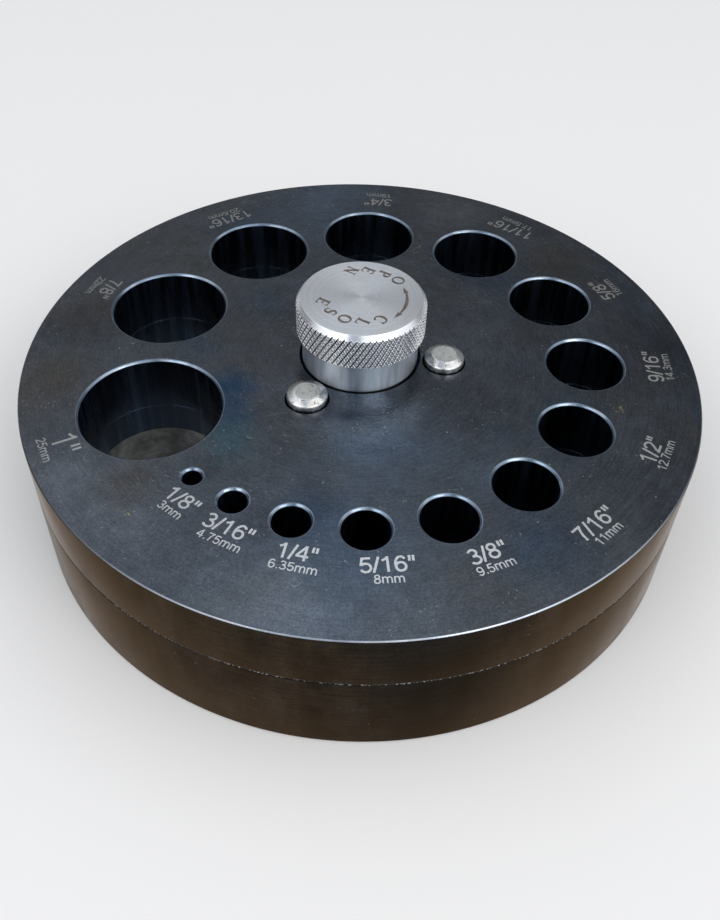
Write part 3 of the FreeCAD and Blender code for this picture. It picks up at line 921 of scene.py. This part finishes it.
def plate_lip():
    """The mouths of the bores, where the bluing has worn thin in places."""
    mat = Shader("worn_lip", (0.19, 0.245, 0.31))
    mat.stain((0.36, 0.42, 0.49), mat.clouds(3.5, 0.42, 0.7, 11.5))
    return mat.finished(0.24)


def plate_seam():
    """The edges at the seam and foot: blued, with small bright nicks."""
    mat = Shader("seam_edge", (0.022, 0.019, 0.017))
    nicks = mat.clouds(0.34, 0.52, 0.6, 11.8, 0.8, 2)
    mat.stain((0.24, 0.24, 0.235), nicks, mat.clouds(22, 0.36, 0.5, 11.9))
    return mat.finished(0.32)


def plate_mark():
    """The engraving, with painted light: pale towards the front, where the light from the front reaches
    it.
    """
    mat = Shader("engraved_mark", (0.235, 0.225, 0.21))
    frost = mat.vary(mat.noise(0.4, 3, 12))
    painted_pale = mat.blend(frost, (0.57, 0.585, 0.59), (0.76, 0.78, 0.79))
    # Painted highlight: the engraving is painted pale towards the front of the plate.
    mat.stain(painted_pale, mat.near(4, -52, 90, 0.08))
    return mat.finished(0.62, 0.6)


def knob_face():
    mat = Shader("turned_face", (0.89, 0.893, 0.9))
    grain = mat.rings(0.14, 5)
    mat.stain((0.82, 0.8, 0.765), mat.clouds(4.5, 0.42, 0.75, 13, 0.5))
    lines = mat.vary(mat.rings(0.6, 2), 0.965, 1.03, 0.25)
    mat.shade(lines, mat.vary(mat.noise(0.22, 2, 13.5), 0.93, 1.06, 0.25))
    mat.bump(grain, 0.004, 0.3)
    mat.turned_grain(0.55)
    return mat.finished(mat.vary(grain, 0.34, 0.42))


def knob_bright():
    mat = Shader("turned_bright", (0.88, 0.89, 0.91))
    mat.turned_grain(0.85)
    return mat.finished(mat.vary(mat.rings(0.3, 4), 0.22, 0.3))


def knob_knurl():
    """The knurl: bright on its points, and dark with grime and painted shade down in its grooves."""
    mat = Shader("knurled", (0.86, 0.87, 0.89))
    mat.stain((0.58, 0.56, 0.53), mat.clouds(1.1, 0.35, 0.75, 14, 0.3))
    mat.stain((0.62, 0.42, 0.2), mat.clouds(0.6, 0.74, 0.78, 14.6, 0.9, 2))
    # Grime and painted shade: the grooves are darkened by how deep they lie.
    groove_grime_and_shade = mat.within(KNOB_RADIUS - RISING_DEPTH, RISING_DEPTH * 0.8)
    mat.stain((0.035, 0.035, 0.036), groove_grime_and_shade, mat.under(KNURL_TOP - 0.15, 0.35))
    return mat.finished(0.22)


def knob_collar():
    """The knob's neck: wiped and streaked, and dark with grime and painted shade where it goes down into
    the plate.
    """
    mat = Shader("turned_collar", (0.48, 0.54, 0.61))
    bands = mat.noise(4, 3, 15, stretch=(1, 1, 30))
    mat.stain((0.46, 0.485, 0.51), mat.clouds(5, 0.4, 0.75, 16, 0.5))
    wiped = mat.vary(mat.noise(3.2, 3, 15.6, stretch=(1, 1, 0.2)), 0.82, 1.18)
    mat.shade(wiped, mat.vary(mat.noise(0.9, 3, 15.9, stretch=(1, 1, 0.12)), 0.88, 1.12))
    # Grime and painted shade on the collar below the plate's top, down in the counterbore.
    mat.stain((0.02, 0.02, 0.022), mat.under(GUIDE_TOP - 0.15, 0.3))
    mat.bump(bands, 0.002, 0.3)
    mat.turned_grain(0.98)
    return mat.finished(mat.vary(bands, 0.37, 0.43))


def knob_mark():
    mat = Shader("etched_mark", (0.08, 0.062, 0.05))
    mat.stain((0.18, 0.148, 0.125), mat.vary(mat.noise(0.5, 3, 17)))
    return mat.finished(0.7, 0.2)


def pin_steel(name, light, dark, rough):
    """Worn steel, with brown and dark specks, and grime near the plate."""
    mat = Shader(name, light)
    mat.stain(dark, mat.clouds(1.3, 0.35, 0.7, 18, 1, 4))
    mat.stain((0.17, 0.12, 0.085), mat.clouds(0.8, 0.58, 0.7, 19, 0.9, 4))
    mat.stain((0.05, 0.05, 0.05), mat.clouds(0.45, 0.62, 0.7, 21, 0.7, 2))
    grime = mat.clouds(0.9, 0.3, 0.6, 24, 0.85)
    mat.stain((0.1, 0.075, 0.055), mat.under(GUIDE_TOP + 0.1, 0.9), grime)
    mat.bump(mat.noise(0.35, 3, 23), 0.012, 0.35)
    return mat.finished(mat.vary(mat.noise(1, 4, 22), rough, rough + 0.12))


def plain_metal(name, light, dark, rough, size):
    """A metal with a mottled tone and uneven gloss."""
    mat = Shader(name, light)
    mottle = mat.clouds(size, 0.3, 0.7, 20, 1, 4)
    mat.stain(dark, mottle)
    return mat.finished(mat.span(mottle, 0, 1, rough, rough + 0.1))


def all_materials():
    return {
        "top": plate_top(),
        "side": plate_side(),
        "bore": plate_bore(),
        "relief": plate_relief(),
        "rim": plate_rim(),
        "lip": plate_lip(),
        "seam": plate_seam(),
        "mark": plate_mark(),
        "face": knob_face(),
        "bright": knob_bright(),
        "knurl": knob_knurl(),
        "collar": knob_collar(),
        "etched": knob_mark(),
        "pin": pin_steel("pin_steel", (0.82, 0.81, 0.79), (0.6, 0.59, 0.57), 0.2),
        "pin_end": pin_steel("pin_end", (0.68, 0.68, 0.64), (0.58, 0.575, 0.54), 0.5),
        "spring": plain_metal("spring_wire", (0.42, 0.42, 0.43), (0.28, 0.28, 0.29), 0.25, 1),
        "screw": plain_metal("screw_steel", (0.52, 0.52, 0.52), (0.4, 0.4, 0.4), 0.25, 1.5),
        "bronze": plain_metal("bronze", (0.62, 0.42, 0.22), (0.48, 0.31, 0.15), 0.28, 3),
        "black": plain_metal("black_oxide", (0.045, 0.045, 0.048), (0.028, 0.028, 0.03), 0.35, 0.8),
    }


# ---------------------------------------------------------------- pieces

PLATE_FINISHES = ["top", "side", "bore", "relief", "rim", "lip", "seam", "mark"]
KNOB_FINISHES = ["face", "bright", "knurl", "collar", "etched"]
OUTER_SEGMENTS = 384
PIN_SEGMENTS = 96
EDGE_STRIP = 0.25
NARROW_STRIP = 0.04
AXIS = (0, 0)
PINS = ("guide_pin_1", "guide_pin_2", "guide_pin_3")
SPRINGS = ("lift_spring_1", "lift_spring_2", "lift_spring_3")
NUT_SCREWS = ("nut_screw_1", "nut_screw_2", "nut_screw_3")


def middle_of(node):
    low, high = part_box(node)
    return Vector(((low.x + high.x) / 2, (low.y + high.y) / 2)) / MM


def broken_edge(radius, level, inside, finish="bore"):
    """A hole's mouth, and its wall just inside: above the level where inside is 1, below at -1."""
    return [(radius + EDGE_BREAK, level, finish), (radius, level + inside * EDGE_BREAK, finish)]


def guide_plate_outer(shell):
    inset = PLATE_RADIUS - RIM_CHAMFER
    return shell.tube(AXIS, [
        (inset - EDGE_STRIP, GUIDE_TOP, "top"),
        (inset, GUIDE_TOP, "rim", EDGE_BEND),
        (PLATE_RADIUS, GUIDE_TOP - RIM_CHAMFER, "side", EDGE_BEND),
        (PLATE_RADIUS, DIE_TOP + SEAM_CHAMFER, "seam", EDGE_BEND),
        (PLATE_RADIUS - SEAM_CHAMFER, DIE_TOP, "top", EDGE_BEND),
        (PLATE_RADIUS - SEAM_CHAMFER - EDGE_STRIP, DIE_TOP, "top"),
    ], OUTER_SEGMENTS)


def guide_bore(shell, centre, radius):
    return shell.tube(centre, [
        (radius + BORE_CHAMFER + EDGE_STRIP, GUIDE_TOP, "top"),
        (radius + BORE_CHAMFER, GUIDE_TOP, "lip", LIP_BEND),
        (radius, GUIDE_TOP - BORE_CHAMFER, "bore", LIP_BEND),
        *reversed(broken_edge(radius, DIE_TOP, 1)),
    ], sides_of(radius))


def guide_pin_hole(shell, centre):
    mouth = PIN_HOLE_RADIUS + PIN_HOLE_CHAMFER
    return shell.tube(centre, [
        (mouth + NARROW_STRIP, GUIDE_TOP, "top"),
        (mouth, GUIDE_TOP, "lip", NARROW_STRIP),
        (PIN_HOLE_RADIUS, GUIDE_TOP - PIN_HOLE_CHAMFER, "bore", EDGE_BEND),
        (PIN_HOLE_RADIUS, POCKET_TOP, "bore"),
        (POCKET_RADIUS, POCKET_TOP, "bore"),
        *reversed(broken_edge(POCKET_RADIUS, DIE_TOP, 1)),
    ], sides_of(POCKET_RADIUS))


def guide_counterbore(shell):
    return shell.tube(AXIS, [
        (COUNTERBORE_RADIUS + EDGE_BREAK + NARROW_STRIP, GUIDE_TOP, "top"),
        *broken_edge(COUNTERBORE_RADIUS, GUIDE_TOP, -1),
        (COUNTERBORE_RADIUS, COUNTERBORE_FLOOR, "bore"),
        (GUIDE_SCREW_BORE, COUNTERBORE_FLOOR, "bore"),
        *reversed(broken_edge(GUIDE_SCREW_BORE, DIE_TOP, 1)),
    ], sides_of(COUNTERBORE_RADIUS))


def guide_plate(materials):
    """The upper plate, with its size marks engraved in the top."""
    shell = Shell(PLATE_FINISHES)
    outer = guide_plate_outer(shell)
    holes = [guide_bore(shell, centre, radius) for _, centre, radius, _ in bores()]
    holes += [guide_pin_hole(shell, middle_of(pin)) for pin in PINS]
    holes.append(guide_counterbore(shell))
    tops, feet = zip(*holes)
    shell.flat(outer[0], tops, "top", size_marks(), "mark", MARK_DEPTH)
    shell.flat(outer[1], feet, "top")
    return shell.finished("guide_plate_body", materials)


def die_plate_outer(shell):
    return shell.tube(AXIS, [
        (PLATE_RADIUS - SEAM_CHAMFER - EDGE_STRIP, DIE_TOP, "top"),
        (PLATE_RADIUS - SEAM_CHAMFER, DIE_TOP, "seam", EDGE_BEND),
        (PLATE_RADIUS, DIE_TOP - SEAM_CHAMFER, "side", EDGE_BEND),
        (PLATE_RADIUS, FOOT_CHAMFER, "seam", EDGE_BEND),
        (PLATE_RADIUS - FOOT_CHAMFER, 0, "top", EDGE_BEND),
        (PLATE_RADIUS - FOOT_CHAMFER - EDGE_STRIP, 0, "top"),
    ], OUTER_SEGMENTS)


def die_bore(shell, centre, radius):
    return shell.tube(centre, [
        *broken_edge(radius, DIE_TOP, -1),
        (radius, DIE_TOP - DIE_LAND, "relief"),
        (radius + DIE_RELIEF, DIE_TOP - DIE_LAND, "relief"),
        *reversed(broken_edge(radius + DIE_RELIEF, 0, 1, "relief")),
    ], sides_of(radius))


def die_pin_socket(shell, centre):
    """A spring's pocket, with the socket for its pin below. Gives back its mouth."""
    mouth, end = shell.tube(centre, [
        *broken_edge(POCKET_RADIUS, DIE_TOP, -1),
        (POCKET_RADIUS, SPRING_SEAT, "bore"),
        (PIN_RADIUS, SPRING_SEAT, "bore"),
        (PIN_RADIUS, PIN_SOCKET_FOOT, "bore"),
    ], sides_of(POCKET_RADIUS))
    shell.tip(end, centre, PIN_SOCKET_FOOT, "bore")
    return mouth


def tapped_hole(shell, centre):
    mouth, end = shell.tube(centre, [
        (NUT_SCREW_RADIUS, NUT_RECESS_TOP, "bore"),
        (NUT_SCREW_RADIUS, NUT_SCREW_TOP, "bore"),
    ], sides_of(NUT_SCREW_RADIUS))
    shell.tip(end, centre, NUT_SCREW_TOP, "bore")
    return mouth


def nut_recess(shell):
    """The recess for the nut, with its tapped holes, and the screw's bore above it."""
    top, bush = shell.tube(AXIS, [
        *broken_edge(DIE_SCREW_BORE, DIE_TOP, -1),
        (DIE_SCREW_BORE, NUT_BUSH_TOP, "bore"),
        (NUT_BUSH_RADIUS, NUT_BUSH_TOP, "bore"),
        (NUT_BUSH_RADIUS, NUT_RECESS_TOP, "bore"),
    ], sides_of(NUT_BUSH_RADIUS))
    foot, wide = shell.tube(AXIS, [
        (NUT_RECESS_RADIUS + EDGE_BREAK, 0, "seam"),
        (NUT_RECESS_RADIUS, EDGE_BREAK, "side"),
        (NUT_RECESS_RADIUS, NUT_RECESS_TOP, "side"),
    ], sides_of(NUT_RECESS_RADIUS))
    holes = [tapped_hole(shell, middle_of(screw)) for screw in NUT_SCREWS]
    shell.flat(wide, [bush, *holes], "side")
    return top, foot


def die_plate(materials):
    """The lower plate, with its cutting lands, relief bores and the recess for the nut."""
    shell = Shell(PLATE_FINISHES)
    outer = die_plate_outer(shell)
    dies = [die_bore(shell, centre, radius) for _, centre, radius, _ in bores()]
    sockets = [die_pin_socket(shell, middle_of(pin)) for pin in PINS]
    top, foot = nut_recess(shell)
    mouths, ends = zip(*dies)
    shell.flat(outer[0], [*mouths, *sockets, top], "top")
    shell.flat(outer[1], [*ends, foot], "top")
    return shell.finished("die_plate_body", materials)


def guide_pin(node, materials):
    """A dowel with a flat tip inside a wide bevel."""
    foot, top = levels_of(node)
    centre = middle_of(node)
    shell = Shell(["pin", "pin_end"])
    first, last = shell.tube(centre, [
        (PIN_TIP_RADIUS - EDGE_STRIP, top, "pin_end"),
        (PIN_TIP_RADIUS, top, "pin", PIN_TIP_BEND),
        (PIN_RADIUS, top - PIN_TIP_LENGTH, "pin", PIN_BEVEL_BEND),
        (PIN_RADIUS, foot + PIN_FOOT_CHAMFER, "pin", PIN_FOOT_BEND),
        (PIN_RADIUS - PIN_FOOT_CHAMFER, foot, "pin_end", PIN_FOOT_BEND),
        (PIN_TIP_RADIUS, foot, "pin_end"),
    ], PIN_SEGMENTS, PIN_ROUNDING_STEPS)
    shell.tip(first, centre, top, "pin_end")
    shell.tip(last, centre, foot, "pin_end")
    return shell.finished(f"{node}_body", materials)


def groove_depth(column, depth):
    """How deep one family of grooves is: a deep groove in each share, and a fine one half-way."""
    across = column % KNURL_SHARE
    from_deep = min(across, KNURL_SHARE - across)
    groove_grime_and_shade = depth * max(0.0, 1 - from_deep / KNURL_FLANK)
    fine = FINE_DEPTH * max(0.0, 1 - (KNURL_SHARE / 2 - from_deep) / FINE_FLANK)
    return max(groove_grime_and_shade, fine)


def knurl_radius(column, row):
    """The knurl before it is bevelled. column and row count the steps of its mesh."""
    steps_a_degree = KNURL_SEGMENTS / 360
    rising = groove_depth(column - row - RISING_TURN * steps_a_degree, RISING_DEPTH)
    falling = groove_depth(column + row - FALLING_TURN * steps_a_degree, FALLING_DEPTH)
    return KNOB_RADIUS - max(rising, falling)


def knob_bevels(level):
    """The radius that the bevels leave at a level of the knurled head."""
    top_slope = (KNOB_RADIUS - BEVEL_TOP_RADIUS) / BEVEL_HEIGHT
    top = BEVEL_TOP_RADIUS + (KNOB_TOP - level) * top_slope
    foot = KNOB_RADIUS - UNDER_BEVEL + (level - COLLAR_TOP)
    return min(top, foot)


def knurl_levels():
    """Levels down the head: one for each row, and fine ones where a bevel cuts the knurl."""
    run_out = RISING_DEPTH / (KNOB_RADIUS - BEVEL_TOP_RADIUS) * BEVEL_HEIGHT
    over = [1 + RUN_OUT_STEP - RUN_OUT_STEP * step for step in range(RUN_OUT_LEVELS)]
    levels = [KNURL_TOP + run_out * share for share in over]
    levels += [KNURL_TOP - (KNURL_TOP - KNURL_FOOT) * row / KNURL_ROWS for row in range(KNURL_ROWS + 1)]
    levels += [KNURL_FOOT - RISING_DEPTH * step / UNDER_LEVELS for step in range(1, UNDER_LEVELS + 1)]
    return levels


def split_square(a, b, c, d):
    """Two triangles that part a square along its shorter diagonal, or the one deeper down."""
    gap = (a.co - c.co).length - (b.co - d.co).length
    if abs(gap) < LENGTHS_ALIKE:
        gap = (a.co + c.co).xy.length - (b.co + d.co).xy.length
    return ((a, b, c), (a, c, d)) if gap < 0 else ((a, b, d), (b, c, d))


def lies_on_bevel(corner):
    """Whether a point of the head lies on a bevel, and not down in a groove."""
    radius = knob_bevels(corner.co.z)
    return radius < KNOB_RADIUS and abs(corner.co.xy.length - radius) < BEVEL_REACH


def knurled_band(shell, first, last):
    """The knurl between two rings, as triangles whose edges follow its grooves."""
    row_height = (KNURL_TOP - KNURL_FOOT) / KNURL_ROWS
    rings = [first]
    for level in knurl_levels():
        row = (level - KNURL_FOOT) / row_height
        bevel = knob_bevels(level)
        radii = [min(knurl_radius(column, row), bevel) for column in range(KNURL_SEGMENTS)]
        rings.append(shell.ring(AXIS, radii, level))
    rings.append(last)
    for upper, lower in zip(rings, rings[1:]):
        for index in range(KNURL_SEGMENTS):
            for triangle in split_square(upper[index - 1], upper[index], lower[index], lower[index - 1]):
                shell.face(triangle, "bright" if all(map(lies_on_bevel, triangle)) else "knurl")


def clamp_knob(materials):
    """The knob: an etched face, a bright bevel, a knurled band and a smooth collar."""
    shell = Shell(KNOB_FINISHES)
    face_ring, bevel_ring = shell.tube(AXIS, [
        (BEVEL_TOP_RADIUS - EDGE_STRIP, KNOB_TOP, "face"),
        (BEVEL_TOP_RADIUS, KNOB_TOP, "bright", EDGE_BEND),
        (knob_bevels(KNOB_TOP - BRIGHT_HEIGHT), KNOB_TOP - BRIGHT_HEIGHT, "bright"),
    ], KNURL_SEGMENTS)
    under_ring, bore_ring = shell.tube(AXIS, [
        (KNOB_RADIUS - UNDER_BEVEL, COLLAR_TOP, "collar"),
        (COLLAR_RADIUS, COLLAR_TOP, "collar", COLLAR_TOP_BEND),
        (COLLAR_RADIUS, KNOB_FOOT + COLLAR_CHAMFER, "collar", COLLAR_FOOT_BEND),
        (COLLAR_RADIUS - COLLAR_CHAMFER, KNOB_FOOT, "collar", COLLAR_FOOT_BEND),
        (SCREW_RADIUS, KNOB_FOOT, "collar"),
        (SCREW_RADIUS, SCREW_TOP, "collar"),
    ], KNURL_SEGMENTS)
    knurled_band(shell, bevel_ring, under_ring)
    shell.tip(bore_ring, AXIS, SCREW_TOP, "collar")
    shell.flat(face_ring, [], "face", knob_marks(), "etched", MARK_DEPTH)
    return shell.finished("clamp_knob_body", materials, KNOB_SHARP_ANGLE)


def bronze_washer(materials):
    """A flat ring, just low enough for the steel one to turn clear of it."""
    foot, top = levels_of("thrust_washer_bronze")
    top -= WASHER_CLEARANCE
    outer = radius_of("thrust_washer_bronze")
    shell = Shell(["bronze"])
    first, last = shell.tube(AXIS, [
        (WASHER_BORE, foot, "bronze"),
        (outer - WASHER_CHAMFER, foot, "bronze"),
        (outer, foot + WASHER_CHAMFER, "bronze"),
        (outer, top - WASHER_CHAMFER, "bronze"),
        (outer - WASHER_CHAMFER, top, "bronze"),
        (WASHER_BORE, top, "bronze"),
    ], sides_of(outer))
    shell.wall(last, first, "bronze")
    return shell.finished("thrust_washer_bronze_body", materials)


# ---------------------------------------------------------------- stage

# The stage is in metres.
FLOOR_REACH = 40.0
FLOOR_COLOUR = (0.9, 0.875, 0.845)
FLOOR_ROUGHNESS = 0.75


def pale_floor():
    data = bpy.data.meshes.new("floor")
    turns = ((-1, -1), (1, -1), (1, 1), (-1, 1))
    corners = [(FLOOR_REACH * across, FLOOR_REACH * along, 0) for across, along in turns]
    data.from_pydata(corners, [], [(0, 1, 2, 3)])
    data.materials.append(Shader("pale_floor", FLOOR_COLOUR).finished(FLOOR_ROUGHNESS, 0))
    in_scene(bpy.data.objects.new("floor", data))


# Softboxes: the place of each, its width, height and power.
SOFTBOXES = {
    "left_softbox": ((-0.42, -0.49, 0.62), 0.38, 0.33, 0.68),
    "right_softbox": ((0.44, -0.5, 0.58), 0.4, 0.32, 1.15),
}
SOFTBOX_TARGET = Vector((0, 0, 0.02))


def softbox(name, place, width, height, power):
    light = bpy.data.lights.new(name, "AREA")
    light.shape = "RECTANGLE"
    light.size = width
    light.size_y = height
    light.energy = power
    lamp = in_scene(bpy.data.objects.new(name, light))
    lamp.location = place
    lamp.rotation_euler = (SOFTBOX_TARGET - Vector(place)).to_track_quat("-Z", "Y").to_euler()


UP = (0, 0, 1)

# The dome behind: its low colour, and the parts laid over it, each with its colour, the axis that
# it faces, and how far turned to that axis it starts and is full.
DOME_LOW = (0.115, 0.12, 0.13)
DOME_PARTS = [
    ((0.36, 0.37, 0.385), UP, 0.12, 0.48),
    ((0.205, 0.222, 0.24), (0.9, 0.45, 0), 0.1, 0.7),
    ((0.86, 0.97, 1.12), (-0.2, 0.05, 1), 0.6, 0.97),
]

# The bright front of the dome, and the dark card in it: low colours, and the parts above them.
FRONT_LOW = (0.8, 0.82, 0.85)
FRONT_HIGH = ((1.22, 1.24, 1.28), UP, 0.18, 0.5)
FRONT_PLACE = ((0.17, -0.82, 0.54), -0.1, 0.4)
CARD_LOW = (0.12, 0.14, 0.17)
CARD_HIGH = ((0.46, 0.52, 0.61), UP, 0.25, 0.5)
CARD_SIDE = (1.0, -0.117, 0.108)
CARD_HALF_WIDTH = 0.145
CARD_BLUR = 0.07


class Sky(NodeTree):
    """The world, whose colour is built up from parts that each face an axis."""

    def __init__(self, name):
        self.world = bpy.data.worlds.new(name)
        super().__init__(self.world)
        self.direction = self.add("TexCoord", {}).outputs["Generated"]

    def facing(self, axis, low, high):
        """How far a direction turns to an axis: zero at low, and one at high."""
        axis = Vector(axis).normalized()
        return self.span(self.vector("DOT_PRODUCT", self.direction, axis, output="Value"), low, high)

    def over(self, base, colour, *facing):
        return self.blend(self.facing(*facing), base, colour)


def studio_light():
    """A dome, bright in front and overhead, with a dark card by the camera, and two softboxes."""
    sky = Sky("studio")
    left = sky.facing(CARD_SIDE, -CARD_HALF_WIDTH - CARD_BLUR, -CARD_HALF_WIDTH)
    right = sky.facing(CARD_SIDE, CARD_HALF_WIDTH + CARD_BLUR, CARD_HALF_WIDTH)
    front = sky.over(FRONT_LOW, *FRONT_HIGH)
    front = sky.blend(sky.times(left, right), front, sky.over(CARD_LOW, *CARD_HIGH))
    colour = DOME_LOW
    for part in DOME_PARTS:
        colour = sky.over(colour, *part)
    sky.feed(sky.nodes["Background"].inputs["Color"], sky.over(colour, front, *FRONT_PLACE))
    bpy.context.scene.world = sky.world
    for name, (place, width, height, power) in SOFTBOXES.items():
        softbox(name, place, width, height, power)


# The camera, as fitted to the plate's outline and bores: distances in millimetres.
VIEW_HEIGHT_PX = 920
FOCAL_PX = 932.43
SENSOR = 36.0
CAMERA_ELEVATION = 40.154
CAMERA_DISTANCE = 179.12
CAMERA_YAW = -0.906
CAMERA_PITCH = -2.25
CAMERA_ROLL = -1.839
SHIFT_X_PX = 16.0
SHIFT_Y_PX = -70.8
CLIP_START = 0.01


def photo_camera():
    """A camera that looks at the middle of the guide plate's top, then turns a little."""
    data = bpy.data.cameras.new("camera")
    data.sensor_width = SENSOR
    data.lens = FOCAL_PX * SENSOR / VIEW_HEIGHT_PX
    data.shift_x = SHIFT_X_PX / VIEW_HEIGHT_PX
    data.shift_y = SHIFT_Y_PX / VIEW_HEIGHT_PX
    data.clip_start = CLIP_START
    rise = math.radians(CAMERA_ELEVATION)
    place = Vector((0, -math.cos(rise), math.sin(rise))) * CAMERA_DISTANCE
    forward = -place.normalized()
    right = Vector((1, 0, 0))
    view = Matrix((right, right.cross(forward), forward))
    for angle, axis in ((-CAMERA_YAW, "Y"), (CAMERA_PITCH, "X"), (CAMERA_ROLL, "Z")):
        view = Matrix.Rotation(math.radians(angle), 3, axis) @ view
    pose = Matrix((view[0], view[1], -view[2])).transposed().to_4x4()
    pose.translation = (place + Vector((0, 0, GUIDE_TOP))) * MM
    camera = in_scene(bpy.data.objects.new("camera", data))
    camera.matrix_world = pose
    bpy.context.scene.camera = camera


# ---------------------------------------------------------------- whole

CAD_SHARP_ANGLE = 30.0


def stand_in(piece, body, node):
    """The piece rides on its body and stands for its CAD node."""
    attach(piece, body)
    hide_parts(node)


def dress(piece, material):
    """A CAD mesh gets its material, and smooth shading where its faces nearly line up."""
    piece.data.materials.clear()
    piece.data.materials.append(material)
    piece.data.shade_smooth()
    piece.data.set_sharp_from_angle(angle=math.radians(CAD_SHARP_ANGLE))


def stretching_spring(node, material):
    """A copy of a packed spring, which stretches from the die plate to the guide plate."""
    piece = in_scene(bpy.data.objects.new(f"{node}_body", frame["nodes"][node].data.copy()))
    dress(piece, material)
    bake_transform(piece)
    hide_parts(node)


CAD_FINISHES = {
    "lead_nut": "bronze",
    "clamp_screw": "screw",
    "knob_cross_pin": "screw",
    "thrust_washer_steel": "screw",
    "screw_stop_ring": "black",
    **dict.fromkeys(NUT_SCREWS, "black"),
}


def main():
    materials = all_materials()
    stand_in(guide_plate(materials), "guide_plate", "top_guide_plate")
    stand_in(die_plate(materials), "base", "bottom_die_plate")
    stand_in(clamp_knob(materials), "knob", "clamp_knob")
    stand_in(bronze_washer(materials), "guide_plate", "thrust_washer_bronze")
    for pin, spring in zip(PINS, SPRINGS):
        stand_in(guide_pin(pin, materials), "base", pin)
        stretching_spring(spring, materials["spring"])
    for node, finish in CAD_FINISHES.items():
        dress(frame["nodes"][node], materials[finish])
    pale_floor()
    studio_light()
    photo_camera()
    bpy.context.scene.view_settings.view_transform = "Standard"


main()
